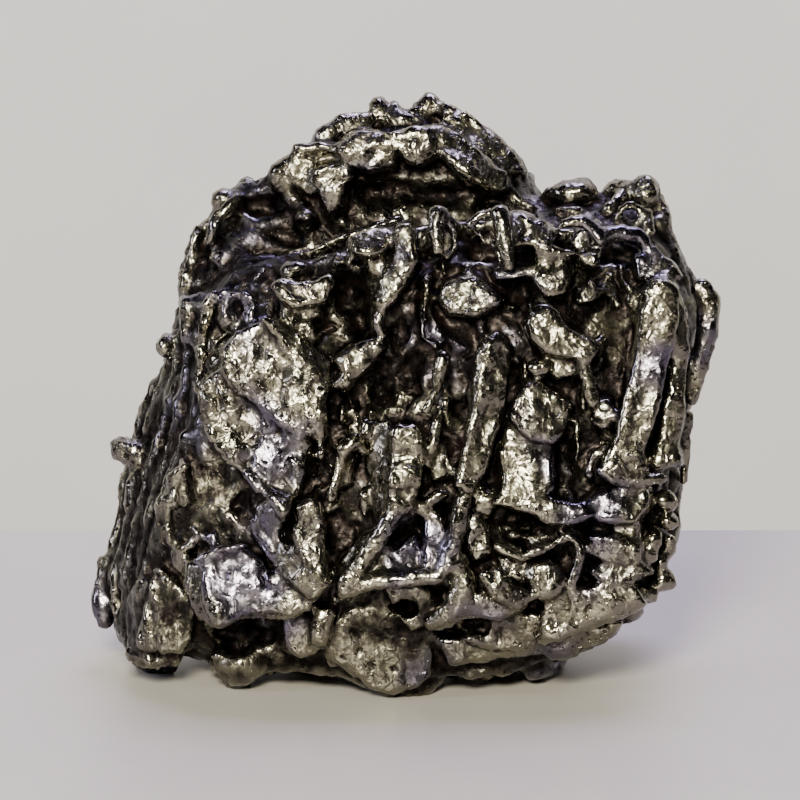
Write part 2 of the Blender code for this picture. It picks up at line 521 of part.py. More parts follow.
def finger_foot(bm):
    """The hooked end below the lip, beside a smooth shaded leaf."""
    ridge(bm, ((5.8, 13.7, 1.0), (6.3, 11.7, 1.2), (5.6, 9.6, 1.25), (4.4, 8.1, 1.15), (3.0, 7.5, 0.9)), 3.2)
    plate(bm, ((-1.6, 11.2), (2.6, 11.4), (4.2, 9.2), (3.0, 7.4), (1.2, 6.6), (-0.4, 8.4)), 1.8, tilt=(0.1, -0.25))


# ---------------------------------------------------------------- right of the fingers


def leaf_plates(bm):
    plate(
        bm,
        ((4.2, 41.2), (7.0, 42.2), (9.2, 40.9), (10.2, 39.7), (8.0, 38.2), (5.0, 38.2), (3.8, 39.7)),
        3.4, tilt=(-0.1, 0.25),
    )
    plate(
        bm,
        ((12.7, 37.6), (13.4, 38.9), (14.8, 39.2), (15.8, 38.2), (16.6, 36.9), (19.2, 35.9), (20.0, 34.7),
         (18.8, 33.5), (16.6, 33.9), (14.6, 34.4), (13.2, 35.8)),
        4.8, tilt=(0.1, 0.12), flare=0.05,
    )
    plate(bm, ((14.2, 34.4), (18.4, 33.9), (18.2, 32.4), (15.4, 31.6)), 3.0, tilt=(0.1, 0.2))
    knob(bm, (13.8, 32.9, 1.8), (1.2, 0.9, 1.0))
    plate(
        bm,
        ((12.6, 31.5), (13.8, 31.6), (16.8, 29.7), (17.0, 28.6), (16.2, 26.0), (15.2, 25.2), (13.6, 25.6),
         (12.4, 26.4), (11.0, 28.0), (11.6, 29.8)),
        4.6, tilt=(0.12, 0.1), flare=0.05,
    )
    plate(
        bm,
        ((11.0, 28.0), (12.6, 26.4), (15.2, 24.8), (15.2, 23.2), (12.0, 24.0), (10.2, 25.4)),
        3.7, tilt=(0.05, 0.2),
    )
    plate(
        bm,
        ((9.8, 24.9), (11.6, 24.6), (14.6, 23.2), (15.6, 22.4), (15.2, 20.8), (14.0, 19.6), (9.6, 19.8),
         (10.2, 22.2)),
        4.2, tilt=(0.08, 0.02), flare=0.05,
    )
    ridge(bm, ((18.3, 33.0, 0.75), (18.9, 31.2, 0.95), (19.3, 29.7, 0.75)), 3.8)
    plate(bm, ((19.3, 29.9), (21.0, 30.1), (21.8, 28.2), (20.8, 26.9), (19.2, 27.1)), 3.0, tilt=(-0.1, 0.1))
    ridge(bm, ((17.6, 27.6, 0.45), (17.9, 25.0, 0.45), (17.2, 22.6, 0.45)), 1.4)
    ridge(bm, ((20.4, 25.2, 0.5), (19.2, 24.0, 0.55), (18.8, 22.4, 0.5)), 2.4)


def right_bar(bm):
    """The tall clean blade near the right edge, split by a thin line."""
    plate(
        bm,
        ((24.4, 40.4), (25.2, 41.6), (26.8, 41.8), (27.8, 40.8), (27.8, 38.2), (27.2, 35.2), (26.0, 31.2),
         (25.0, 27.7), (24.4, 25.2), (24.6, 22.8), (22.4, 22.2), (20.2, 22.9), (20.6, 24.6), (21.8, 26.0),
         (21.9, 28.2), (22.8, 31.7), (23.6, 35.7)),
        5.3, tilt=(0.08, 0.0), depth=6.5, flare=0.03,
    )
    ridge(bm, ((26.9, 35.6, 0.45), (26.2, 32.2, 0.45), (25.3, 28.6, 0.45), (24.6, 25.6, 0.4)), 5.1)
    plate(
        bm,
        ((27.8, 40.2), (28.9, 38.6), (28.8, 33.0), (28.4, 28.0), (27.8, 24.2), (25.4, 24.0), (26.4, 29.0),
         (27.4, 34.0)),
        3.2, tilt=(0.35, 0.0), flare=0.02,
    )
    plate(bm, ((25.0, 24.4), (28.0, 24.8), (28.2, 23.4), (25.4, 22.8)), 3.4, tilt=(0.1, 0.2))
    ridge(
        bm,
        ((30.2, 41.0, 9.6, 1.1), (31.0, 39.4, 9.8, 1.25), (30.9, 36.7, 10.0, 1.3), (30.0, 33.7, 10.2, 1.2),
         (29.4, 30.2, 10.4, 1.1)),
    )
    ridge(bm, ((28.9, 28.2, 9.0, 0.7), (28.6, 25.7, 9.0, 0.7), (28.8, 23.7, 9.4, 0.6), (28.4, 21.7, 9.4, 0.6)))


# ---------------------------------------------------------------- the lower right of the face


def wing(bm):
    """The thin overhanging plate over a small arch."""
    plate(
        bm,
        ((8.8, 19.6), (10.4, 20.4), (14.0, 20.2), (16.0, 19.6), (18.5, 19.5), (19.2, 18.2), (17.0, 17.2),
         (14.5, 17.4), (13.0, 18.5), (11.0, 19.0)),
        4.6, tilt=(0.05, 0.2), flare=0.04,
    )
    ridge(bm, ((20.0, 22.7, 0.5), (22.0, 21.8, 0.6), (24.0, 21.7, 0.65), (26.2, 22.0, 0.55)), 4.2)
    plate(bm, ((10.2, 18.4), (12.6, 18.6), (13.2, 16.7), (10.3, 16.7)), 1.6)
    ridge(bm, ((9.7, 15.2, 0.6), (12.0, 14.2, 0.65), (14.5, 15.1, 0.65), (17.0, 16.2, 0.55)), 3.4)
    for u, v, r in ((11.5, 16.3, 0.8), (13.1, 15.9, 0.7), (14.2, 16.4, 0.8), (15.8, 16.9, 0.6)):
        knob(bm, (u, v, face_depth(u, v) - 2.4), (r, r * 0.8, r))


def lower_right_plates(bm):
    plate(
        bm,
        ((18.3, 19.2), (20.3, 20.9), (23.0, 21.3), (24.8, 20.7), (24.9, 19.2), (23.5, 17.5), (20.0, 17.7)),
        4.0, tilt=(0.05, 0.25),
    )
    plate(bm, ((21.3, 17.5), (24.2, 17.3), (24.0, 15.8), (21.4, 15.9)), 3.4, tilt=(0.0, 0.2))
    plate(bm, ((18.8, 16.4), (21.5, 16.0), (24.2, 15.6), (24.0, 13.8), (21.0, 13.6), (19.0, 14.4)), 4.0, tilt=(0.0, -0.2))
    plate(bm, ((18.8, 12.7), (21.0, 13.8), (24.0, 13.6), (25.2, 12.6), (23.0, 11.5), (20.3, 11.5)), 3.8, tilt=(0.0, 0.15))
    plate(
        bm,
        ((14.3, 9.2), (16.5, 10.8), (20.0, 11.3), (24.0, 10.9), (24.7, 9.2), (22.0, 8.8), (20.0, 8.2),
         (18.0, 6.9), (16.0, 6.0), (14.3, 6.0)),
        4.2, tilt=(0.05, -0.12),
    )
    plate(bm, ((14.0, 5.6), (18.0, 6.8), (22.5, 7.8), (21.0, 5.8), (18.0, 4.4), (15.0, 3.8)), 2.2, tilt=(0.0, -0.5))
    ridge(bm, ((14.0, 5.9, 0.45), (17.0, 6.6, 0.45), (20.0, 7.9, 0.5), (24.0, 9.1, 0.5)), 3.8)
    ridge(bm, ((17.8, 15.7, 0.5), (18.0, 13.7, 0.55), (17.0, 11.2, 0.5)), 3.4)
    knob(bm, (17.7, 14.7, 3.8), (1.3, 1.2, 1.4))
    for u, v, ru, rv, w in (
        (26.5, 19.6, 1.2, 1.0, 7.4), (26.8, 17.6, 0.9, 0.8, 7.6), (25.4, 16.0, 0.9, 1.3, 6.4),
        (25.0, 14.3, 0.9, 0.9, 6.6), (26.4, 11.7, 1.2, 1.1, 9.4), (26.2, 13.6, 0.9, 0.9, 8.8),
        (25.0, 10.2, 0.9, 0.9, 8.8), (27.0, 15.4, 0.8, 1.4, 9.2),
    ):
        knob(bm, (u, v, w), (ru, rv, 1.2))


def lower_middle_plates(bm):
    plate(bm, ((6.0, 8.2), (8.0, 10.9), (10.0, 9.9), (12.2, 8.9), (10.0, 8.0)), 3.8, tilt=(0.0, -0.1))
    ridge(bm, ((8.4, 12.4, 0.55), (9.9, 10.4, 0.55), (12.0, 9.3, 0.55)), 4.2)
    ridge(bm, ((9.6, 12.8, 0.45), (11.0, 11.0, 0.45), (13.0, 10.1, 0.45)), 3.8)
    plate(bm, ((12.8, 13.2), (15.0, 14.0), (16.4, 12.4), (16.0, 10.7), (14.5, 9.7), (13.3, 10.7)), 4.0, tilt=(0.1, 0.0))
    plate(bm, ((9.8, 14.1), (12.8, 13.9), (12.8, 11.8), (10.6, 12.0)), 3.0, tilt=(0.0, 0.2))
    knob(bm, (10.6, 12.3, 3.2), (0.9, 0.8, 0.9))
    for u, v in ((10.7, 7.0), (12.0, 6.8), (13.3, 6.9), (9.3, 6.6)):
        ridge(bm, ((u, v + 1.2, 0.5), (u - 0.2, v - 1.2, 0.55)), 2.0)
    ridge(bm, ((6.6, 6.2, 0.6), (9.4, 5.4, 0.6), (12.6, 5.2, 0.6)), 2.2)
    plate(
        bm,
        ((4.2, 6.0), (9.0, 7.6), (14.0, 7.8), (14.0, 4.6), (9.0, 3.8), (5.0, 3.2)),
        1.5, tilt=(0.0, -0.3),
    )
    plate(bm, ((6.8, 18.2), (8.8, 17.8), (9.0, 14.6), (7.2, 13.6), (6.6, 15.6)), 2.2, tilt=(0.1, 0.0))


# ---------------------------------------------------------------- the lower left and the keel


def front_block(bm):
    """The block with a smooth left side and a bright top rim, and the forked plates over it."""
    plate(
        bm,
        ((-20.2, 13.5), (-18.0, 14.7), (-15.8, 15.0), (-13.8, 13.7), (-13.0, 12.2), (-11.5, 13.9),
         (-9.0, 10.7), (-9.3, 9.0), (-11.0, 8.3), (-13.2, 8.7), (-15.0, 8.3), (-17.5, 7.5), (-18.5, 7.3),
         (-19.3, 9.7)),
        4.8, tilt=(0.0, 0.1), flare=0.04,
    )
    plate(
        bm,
        ((-21.5, 13.7), (-20.0, 13.6), (-17.6, 7.5), (-18.8, 7.3), (-20.6, 9.2), (-21.6, 11.2)),
        3.9, tilt=(-0.8, 0.0),
    )
    ridge(bm, ((-20.5, 13.8, 0.5), (-17.8, 14.9, 0.5), (-15.8, 15.3, 0.5)), 4.9)
    plate(
        bm,
        ((-13.8, 19.6), (-13.0, 20.5), (-11.8, 19.2), (-10.4, 16.9), (-9.5, 15.2), (-8.2, 12.5),
         (-7.8, 10.7), (-8.8, 9.9), (-10.4, 11.2), (-12.0, 12.7), (-13.8, 14.9), (-15.2, 17.2),
         (-15.0, 18.9)),
        4.6, tilt=(-0.3, 0.0), flare=0.03,
    )
    ridge(bm, ((-12.6, 20.2, 0.55), (-11.0, 17.4, 0.6), (-9.6, 14.8, 0.65), (-8.2, 11.8, 0.7)), 5.0)
    plate(
        bm,
        ((-10.2, 19.0), (-9.2, 20.0), (-8.0, 19.5), (-7.4, 17.2), (-7.2, 14.2), (-7.0, 11.7), (-7.9, 10.9),
         (-8.8, 13.7), (-9.8, 16.2)),
        5.2, tilt=(0.1, 0.05), flare=0.03,
    )
    ridge(bm, ((-18.8, 7.5, 0.45), (-15.0, 8.3, 0.5), (-11.0, 8.4, 0.5), (-9.4, 9.2, 0.55)), 4.5)
    knob(bm, (-19.5, 21.8, 4.6), (0.9, 1.2, 1.0))
    ridge(bm, ((-18.4, 18.6, 0.5), (-16.6, 17.4, 0.5), (-14.8, 17.6, 0.5)), 1.0)
    ridge(bm, ((-19.6, 24.0, 0.5), (-18.2, 21.8, 0.45), (-17.4, 19.6, 0.5)), 1.2)


def keel_plates(bm):
    """The pitted plate on the lump that touches the table in front, and the cracked plates by it."""
    plate(
        bm,
        ((-7.2, 5.2), (-6.4, 7.6), (-5.0, 8.8), (-2.0, 8.8), (0.5, 8.0), (2.4, 6.6), (3.2, 4.2), (3.0, 2.2),
         (1.5, 0.9), (-0.5, 0.4), (-3.0, 0.9), (-5.2, 2.4), (-6.8, 4.0)),
        1.7, tilt=(0.03, -0.26), flare=0.05,
    )
    plate(bm, ((-8.6, 9.4), (-6.6, 8.9), (-7.4, 5.2), (-9.0, 5.0)), 2.5, tilt=(0.0, -0.15))
    plate(bm, ((-11.8, 8.0), (-8.6, 8.4), (-8.4, 4.5), (-10.0, 3.8), (-11.6, 5.0)), 2.4, tilt=(0.0, -0.2))
    knob(bm, (-13.6, 5.4, 11.0), (1.2, 1.1, 1.4))
    knob(bm, (-12.4, 4.3, 11.4), (1.0, 0.9, 1.2))


def wedge_foot(bm):
    plate(
        bm,
        ((-24.5, 12.9), (-24.0, 12.2), (-22.8, 11.2), (-22.0, 9.7), (-20.8, 8.5), (-21.0, 5.7),
         (-22.2, 4.4), (-25.0, 4.4), (-26.3, 5.2), (-26.0, 6.9), (-25.3, 9.7), (-25.0, 11.7)),
        1.4, tilt=(-0.15, -0.1), base=10.8,
    )
    ridge(bm, ((-24.6, 12.6, 9.4, 0.5), (-22.4, 10.8, 9.2, 0.5), (-20.9, 8.3, 9.3, 0.5)))
    ridge(bm, ((-27.2, 4.2, 13.0, 0.8), (-25.0, 3.6, 11.8, 0.8), (-22.6, 3.6, 11.6, 0.8)))


# ---------------------------------------------------------------- the striated left side


def level(v):
    """The body's four corners and its back at a height v, between the rows of BODY_LEVELS."""
    for low, high in zip(BODY_LEVELS, BODY_LEVELS[1:]):
        if v <= high[0]:
            break
    t = max(0.0, min(1.0, (v - low[0]) / (high[0] - low[0])))
    return [a + (b - a) * t for a, b in zip(low[1:], high[1:])]


def left_place(v, share, proud):
    """A place on the left side: share runs from the face's corner at 0 to the widest line at 1."""
    corner, _, side, _, _ = level(v)
    depth = face_depth(corner, v) + 1.6
    u = corner + (side - corner) * share
    w = depth + (21.0 - depth) * share
    slope = Vector((21.0 - depth, corner - side)).normalized()
    return u - slope.x * proud, w - slope.y * proud


def slat(bm, share, low, high, radius, proud=0.1, steps=4):
    """One of the long thin blades seen edge-on as a striation of the left side."""
    path = []
    for i in range(steps + 1):
        v = low + (high - low) * i / steps
        u, w = left_place(v, share, proud)
        path.append((u, v, w, radius * (0.75 + 0.25 * math.sin(math.pi * i / steps))))
    ridge(bm, path)


def left_side(bm):
    for share, low, high, radius in (
        (0.08, 17.0, 26.5, 0.7), (0.10, 27.5, 34.5, 0.6), (0.10, 35.5, 40.0, 0.85), (0.30, 12.0, 24.0, 0.6),
        (0.34, 24.5, 38.5, 0.7), (0.55, 9.0, 18.0, 0.75), (0.55, 19.5, 31.0, 0.6), (0.62, 31.0, 41.0, 0.7),
        (0.78, 7.0, 16.5, 0.6), (0.80, 17.0, 25.0, 0.7), (0.84, 26.5, 37.0, 0.6), (1.0, 13.0, 22.0, 0.7),
        (1.0, 26.5, 33.0, 0.65), (0.2, 8.5, 13.5, 0.7),
    ):
        slat(bm, share, low, high, radius)
    knob(bm, (-28.2, 24.7, 19.5), (1.5, 1.4, 1.7))
    knob(bm, (-26.8, 24.3, 19.5), (1.8, 1.7, 2.2))
    knob(bm, (-23.6, 35.2, 17.5), (1.1, 1.2, 1.6))
    ridge(bm, ((-30.1, 13.2, 21.5, 0.9), (-30.5, 10.0, 21.5, 1.0), (-30.1, 7.4, 21.5, 0.9)))
    plate(bm, ((-22.0, 40.0), (-20.2, 40.0), (-20.2, 35.7), (-22.0, 35.7)), 2.0, base=12.0)
    for u, low, high in ((-21.8, 19.6, 23.4), (-22.9, 19.4, 22.2), (-23.4, 15.6, 19.8)):
        ridge(bm, ((u, high, 8.0, 0.5), (u + 0.3, low, 8.0, 0.55)))
    knob(bm, (-22.2, 14.2, 8.2), (0.8, 1.8, 1.0))


# ---------------------------------------------------------------- hollows


def deep_pits(bm):
    """The holes, clefts and undercuts: each is cut out of the fused stone."""
    for centre, radii in (
        ((-5.0, 40.4, 4.0), (2.5, 3.2, 5.0)),
        ((-3.9, 37.6, 4.0), (1.8, 2.2, 4.0)),
        ((-7.0, 37.0, 3.2), (2.2, 1.9, 3.2)),
        ((-1.0, 50.5, 12.0), (5.2, 2.4, 4.8)),
        ((4.4, 50.6, 12.8), (4.8, 2.0, 4.2)),
        ((9.0, 50.0, 14.0), (2.6, 1.1, 3.0)),
        ((0.6, 9.4, 5.6), (1.9, 1.1, 2.6)),
        ((5.2, 6.6, 5.8), (2.2, 0.9, 2.2)),
        ((-16.6, 5.9, 9.0), (4.2, 2.1, 3.6)),
        ((-16.4, 18.9, 4.6), (2.5, 3.4, 3.4)),
        ((-10.9, 17.9, 2.4), (1.0, 2.4, 3.0)),
        ((11.6, 18.0, 1.8), (2.8, 1.0, 3.2)),
        ((25.2, 19.7, 4.6), (0.7, 2.2, 2.2)),
        ((7.2, 10.9, 5.0), (0.8, 2.0, 2.8)),
        ((13.2, 9.2, 4.4), (1.4, 0.9, 2.8)),
        ((-1.6, 31.0, 3.0), (1.8, 3.4, 3.0)),
        ((0.7, 32.4, 2.8), (1.9, 3.2, 3.0)),
        ((-0.2, 36.7, 3.2), (1.6, 2.6, 3.0)),
        ((0.3, 29.4, 2.6), (1.6, 1.4, 2.6)),
        ((-7.0, 29.2, 3.0), (1.1, 2.0, 2.6)),
        ((12.0, 40.6, 4.0), (2.2, 1.6, 3.2)),
        ((20.0, 42.0, 5.4), (2.2, 1.2, 3.2)),
        ((17.0, 38.4, 3.0), (1.4, 1.0, 2.6)),
        ((23.3, 48.4, 12.4), (0.75, 0.75, 1.8)),
        ((18.9, 45.5, 5.0), (0.75, 0.75, 1.6)),
        ((-16.2, 39.0, 3.6), (1.1, 1.2, 2.0)),
        ((17.0, 31.2, 2.6), (1.3, 1.1, 3.0)),
        ((14.8, 20.5, 2.2), (0.7, 0.6, 1.4)),
        ((-19.3, 42.6, 11.4), (1.5, 2.2, 3.6)),
        ((-14.0, 49.6, 14.8), (2.4, 1.5, 1.8)),
        ((-24.8, 4.1, 10.6), (1.0, 0.5, 1.4)),
        ((19.8, 48.4, 12.6), (1.6, 0.7, 2.0)),
        ((6.9, 43.6, 3.2), (0.9, 2.0, 2.0)),
        ((-13.6, 11.6, 1.4), (0.5, 1.6, 1.2)),
        ((1.4, 15.0, 2.0), (0.5, 1.6, 1.6)),
        ((-6.2, 15.4, 2.6), (0.8, 1.6, 2.8)),
    ):
        knob(bm, centre, radii)


def slots(bm):
    for path in (
        ((-17.5, 44.6, 11.6, 1.0), (-5.0, 48.0, 13.0, 1.3), (5.0, 49.7, 14.2, 1.3), (13.0, 49.3, 15.6, 1.2)),
        ((29.5, 41.5, 7.2, 0.6), (29.3, 36.0, 7.0, 0.7), (28.6, 30.5, 7.4, 0.6)),
        ((21.2, 43.0, 6.0, 1.3), (22.0, 38.0, 5.2, 1.4), (21.2, 33.0, 4.8, 1.3), (19.0, 27.6, 5.0, 1.2),
         (18.2, 23.6, 5.0, 1.2)),
        ((11.6, 38.0, 4.2, 0.9), (11.8, 33.6, 4.2, 0.8), (11.0, 30.8, 4.2, 0.7), (10.3, 27.0, 4.2, 0.7),
         (9.2, 22.6, 4.2, 0.7)),
        ((-2.3, 29.6, 3.6, 1.0), (-2.2, 24.0, 3.8, 1.0), (-2.8, 19.6, 4.0, 1.0), (-5.0, 15.2, 4.0, 0.8)),
        ((2.5, 27.6, 3.8, 0.4), (2.5, 22.0, 4.0, 0.4)),
        ((5.9, 34.5, 3.4, 1.0), (5.6, 29.5, 3.6, 1.0), (5.4, 25.4, 3.8, 0.8), (4.9, 22.0, 4.0, 0.6)),
        ((17.0, 12.3, 4.4, 0.5), (21.0, 11.2, 5.2, 0.45), (25.0, 11.2, 6.6, 0.5)),
        ((16.6, 25.0, 4.0, 0.8), (16.8, 22.0, 4.2, 0.8)),
        ((-6.8, 27.2, 3.4, 0.8), (-8.0, 22.6, 3.6, 0.8), (-8.9, 20.6, 3.6, 0.7)),
        ((7.7, 47.0, 5.6, 0.6), (7.9, 44.0, 5.0, 0.6)),
        ((-14.0, 47.0, 13.8, 0.8), (-9.6, 46.0, 13.4, 0.8)),
        ((-17.0, 38.2, 4.0, 0.5), (-12.8, 38.6, 3.6, 0.5)),
        ((10.0, 17.4, 3.2, 0.6), (13.6, 17.0, 3.0, 0.6), (17.6, 16.9, 3.6, 0.5)),
    ):
        ridge(bm, path, sides=6)


# ---------------------------------------------------------------- the sides and back


def on_worked_side(spot, normal):
    """Whether a place lies on the front or the striated left side, which are laid out one by one."""
    u, w, v = spot / MM
    front = normal.y < -0.25 and w < 19.5
    striated = normal.x < -0.4 and w < 22.0 and v < 42.0
    return front or striated


def spread(count):
    """Directions spaced evenly over a sphere."""
    for i in range(count):
        height = 1.0 - 2.0 * (i + 0.5) / count
        angle = math.pi * (3.0 - math.sqrt(5.0)) * i
        flat = math.sqrt(1.0 - height * height)
        yield Vector((flat * math.cos(angle), flat * math.sin(angle), height))


def along_surface(tree, spot, normal, heading, length, lift):
    """Three places along a blade that follows the surface, or None where it would leave it."""
    heading = (heading - normal * heading.dot(normal)).normalized()
    places = []
    for t in (-0.5, 0.0, 0.5):
        above = spot + heading * length * t + normal * 8.0 * MM
        hit = tree.ray_cast(above, -normal, 14.0 * MM)[0]
        if hit is None:
            return None
        places.append(hit + normal * lift)
    return places


def table_gap(spot):
    """Height of a place over the table, in millimetres."""
    u, w, v = spot / MM
    return (v - floor_height(w)) * math.cos(FACE_LEAN)


def wild_blades(bm, hollows, tree):
    """Blades of the three crystal directions, with knobs and pits between them, over the sides and
    the back."""
    rng = random.Random(WILD_SEED)
    centre = point(1.0, 24.0, 22.0)
    for direction in spread(WILD_PLACES):
        reach = centre + direction * 60.0 * MM
        spot, normal, _, _ = tree.ray_cast(reach, -direction)
        grain = GRAINS[rng.choice((0, 0, 0, 1, 1, 2))]
        length = rng.uniform(4.0, 11.0) * MM
        radius = BLADE_WIDTH * rng.uniform(0.22, 0.42)
        kind = rng.random()
        lift = rng.uniform(-0.45, 0.15) * radius * MM
        if spot is None or on_worked_side(spot, normal) or table_gap(spot) < 2.2:
            continue
        if kind < 0.62:
            places = along_surface(tree, spot, normal, grain, length, lift)
            if places is None or min(table_gap(p) for p in places) < 1.5:
                continue
            sizes = (radius * rng.uniform(0.6, 1.0), radius, radius * rng.uniform(0.6, 1.0))
            ridge(bm, [(p.x / MM, p.z / MM, p.y / MM, r) for p, r in zip(places, sizes)])
        elif kind < 0.82:
            where = spot / MM
            knob(bm, (where.x, where.z, where.y), [radius * rng.uniform(0.9, 1.7) for _ in range(3)])
        else:
            places = along_surface(tree, spot, normal, grain, length * 0.3, 0.1 * radius * MM)
            if places is not None:
                sizes = [radius * rng.uniform(0.55, 1.05) for _ in places]
                ridge(hollows, [(p.x / MM, p.z / MM, p.y / MM, r) for p, r in zip(places, sizes)])


def slab(bm, tree, rng, where, heading, length, width, rise):
    """A broad broken plate lying on the back or a side, with its long side on a crystal direction."""
    centre = point(1.0, 24.0, 22.0)
    outward = (point(*where) - centre).normalized()
    spot, normal, _, _ = tree.ray_cast(centre + outward * 60.0 * MM, -outward)
    along = (heading - normal * heading.dot(normal)).normalized()
    across = normal.cross(along)
    slope = rng.uniform(-0.9, 0.9)
    corners = []
    for share, half in ((-0.5, 0.5), (-0.3, 0.9), (0.1, 1.0), (0.4, 0.75), (0.5, 0.35)):
        for side in (-0.5, 0.5):
            reach = length * (share + rng.uniform(-0.06, 0.06))
            spread_by = width * side * half * rng.uniform(0.65, 1.1)
            base = spot + along * reach * MM + across * spread_by * MM
            corners.append(base + normal * (rise + slope * share + rng.uniform(-0.25, 0.15)) * MM)
            corners.append(base + across * side * 1.6 * MM - normal * 3.0 * MM)
    boulder(bm, [(c.x / MM, c.z / MM, c.y / MM) for c in corners])


def rib(bm, tree, rng, outward, start, heading, length, radius, lift, step=2.6):
    """A rib, or a groove when it goes into the hollows, laid over the stone as seen from outward."""
    places = []
    for i in range(int(length / step) + 1):
        above = point(*start) + (heading * i * step + outward * 50.0) * MM
        above += heading.cross(outward) * rng.uniform(-0.35, 0.35) * MM
        spot, normal, _, _ = tree.ray_cast(above, -outward)
        if spot is None or table_gap(spot) < 1.8 or normal.dot(outward) < 0.35:
            break
        swell = rng.uniform(0.8, 1.2)
        place = (spot + normal * lift * swell * radius * MM) / MM
        places.append((place.x, place.z, place.y, radius * swell))
    if len(places) > 1:
        ridge(bm, places)


def ribbed_rows(bm, hollows, tree, rng, outward, first, row_step, rows, heading, reach):
    """Rows of broken parallel ribs with grooves between them, like those of the front."""
    for row in range(rows):
        at = [first[i] + row_step[i] * row for i in range(3)]
        travelled = rng.uniform(0.0, 4.0)
        while travelled < reach:
            length = rng.uniform(6.0, 17.0)
            start = [at[0] + heading.x * travelled, at[1] + heading.z * travelled, at[2] + heading.y * travelled]
            rib(bm, tree, rng, outward, start, heading, length, rng.uniform(0.85, 1.35), 0.25)
            beside = [start[i] + row_step[i] * 0.5 for i in range(3)]
            rib(hollows, tree, rng, outward, beside, heading, length, rng.uniform(0.55, 0.95), -0.2)
            travelled += length + rng.uniform(1.4, 3.6)


def back_ground(bm, hollows, tree):
    rng = random.Random(BACK_SEED)
    upright, slanting, level_grain = [grain.normalized() for grain in GRAINS]
    back, right = Vector((0, 1, 0)), Vector((1, 0, 0))
    top, under = Vector((0.0, 0.6, 0.8)), Vector((0, 0, -1))
    ribbed_rows(bm, hollows, tree, rng, back, (-19.0, 6.5, 30.0), (4.9, 0.0, 0.0), 9, upright, 32.0)
    ribbed_rows(bm, hollows, tree, rng, right, (20.0, 6.0, 15.5), (0.0, 0.0, 5.2), 4, upright, 30.0)
    ribbed_rows(bm, hollows, tree, rng, top, (-14.0, 52.0, 21.0), (1.2, -1.6, 3.8), 5, slanting, 27.0)
    ribbed_rows(bm, hollows, tree, rng, under, (-19.0, 0.0, 14.0), (4.6, 0.0, 0.0), 8, level_grain, 20.0)
    for where, grain, length, width, rise in (
        ((-13.0, 31.0, 40.0), upright, 15.0, 7.5, 1.5),
        ((4.0, 17.0, 42.0), slanting, 13.0, 7.0, 1.7),
        ((14.0, 34.0, 40.0), upright, 12.0, 6.0, 1.8),
        ((-18.0, 13.0, 38.0), slanting, 11.0, 6.0, 1.3),
        ((24.0, 17.0, 32.0), upright, 12.0, 6.0, 1.2),
        ((27.0, 26.0, 24.0), upright, 12.0, 6.0, 0.7),
        ((-24.0, 30.0, 32.0), upright, 13.0, 6.0, 0.8),
        ((-9.0, 46.0, 36.0), slanting, 10.0, 6.5, 1.3),
        ((6.0, 47.0, 36.0), upright, 9.0, 5.5, 1.2),
        ((20.0, 45.0, 28.0), level_grain, 8.0, 5.0, 0.8),
    ):
        slab(bm, tree, rng, where, grain, length, width, rise)


# ---------------------------------------------------------------- assembly


def add_masses(bm):
    for part in (body, cap_mass, shoulder_mass, brow_mass, ear_mass, feet):
        part(bm)


def add_features(bm):
    for part in (
        crown_slabs, crown_front, crown_knobs, shoulder_lumps, brow_left, brow_middle, brow_right,
        wrinkled_plate, rough_valley, left_finger, long_finger, finger_foot, leaf_plates, right_bar,
        wing, lower_right_plates, lower_middle_plates, front_block, keel_plates, wedge_foot, left_side,
    ):
        part(bm)


def mesh_object(name, bm, collection):
    bmesh.ops.recalc_face_normals(bm, faces=bm.faces)
    mesh = bpy.data.meshes.new(name)
    bm.to_mesh(mesh)
    bm.free()
    obj = bpy.data.objects.new(name, mesh)
    collection.objects.link(obj)
    return obj


def voxel_fuse(obj, size):
    remesh = obj.modifiers.new("fuse", "REMESH")
    remesh.mode = "VOXEL"
    remesh.voxel_size = size * MM
    remesh.adaptivity = 0.0
    return remesh


def carve(obj, name, cutter):
    cut = obj.modifiers.new(name, "BOOLEAN")
    cut.operation = "DIFFERENCE"
    cut.solver = "EXACT"
    cut.object = cutter


def make_cutter(obj):
    obj.display_type = "WIRE"
    obj.hide_render = True


def settle(obj, matrix=Matrix()):
    """Keeps the shape that the modifiers give, moved by matrix."""
    bpy.context.view_layer.update()
    shaped = obj.evaluated_get(bpy.context.evaluated_depsgraph_get())
    mesh = bpy.data.meshes.new_from_object(shaped)
    obj.modifiers.clear()
    obj.data = mesh
    mesh.transform(matrix)
    mesh.update()
    return mesh


def keep_largest(mesh):
    """Drops the crumbs that a cut leaves: every group of faces but the largest."""
    bm = bmesh.new()
    bm.from_mesh(mesh)
    groups, seen = [], set()
    for start in bm.faces:
        if start in seen:
            continue
        seen.add(start)
        group, front = [start], [start]
        while front:
            for edge in front.pop().edges:
                for face in edge.link_faces:
                    if face not in seen:
                        seen.add(face)
                        group.append(face)
                        front.append(face)
        groups.append(group)
    groups.sort(key=len, reverse=True)
    crumbs = [face for group in groups[1:] for face in group]
    bmesh.ops.delete(bm, geom=crumbs, context="FACES")
    bm.to_mesh(mesh)
    bm.free()


def iron():
    material = bpy.data.materials.new("meteoritic_iron")
    material.use_nodes = True
    shader = material.node_tree.nodes["Principled BSDF"]
    shader.inputs["Base Color"].default_value = (0.20, 0.185, 0.175, 1.0)
    shader.inputs["Metallic"].default_value = 1.0
    shader.inputs["Roughness"].default_value = 0.34
    material.diffuse_color = (0.20, 0.185, 0.175, 1.0)
    return material


def collection_named(name):
    made = bpy.data.collections.new(name)
    bpy.context.scene.collection.children.link(made)
    return made


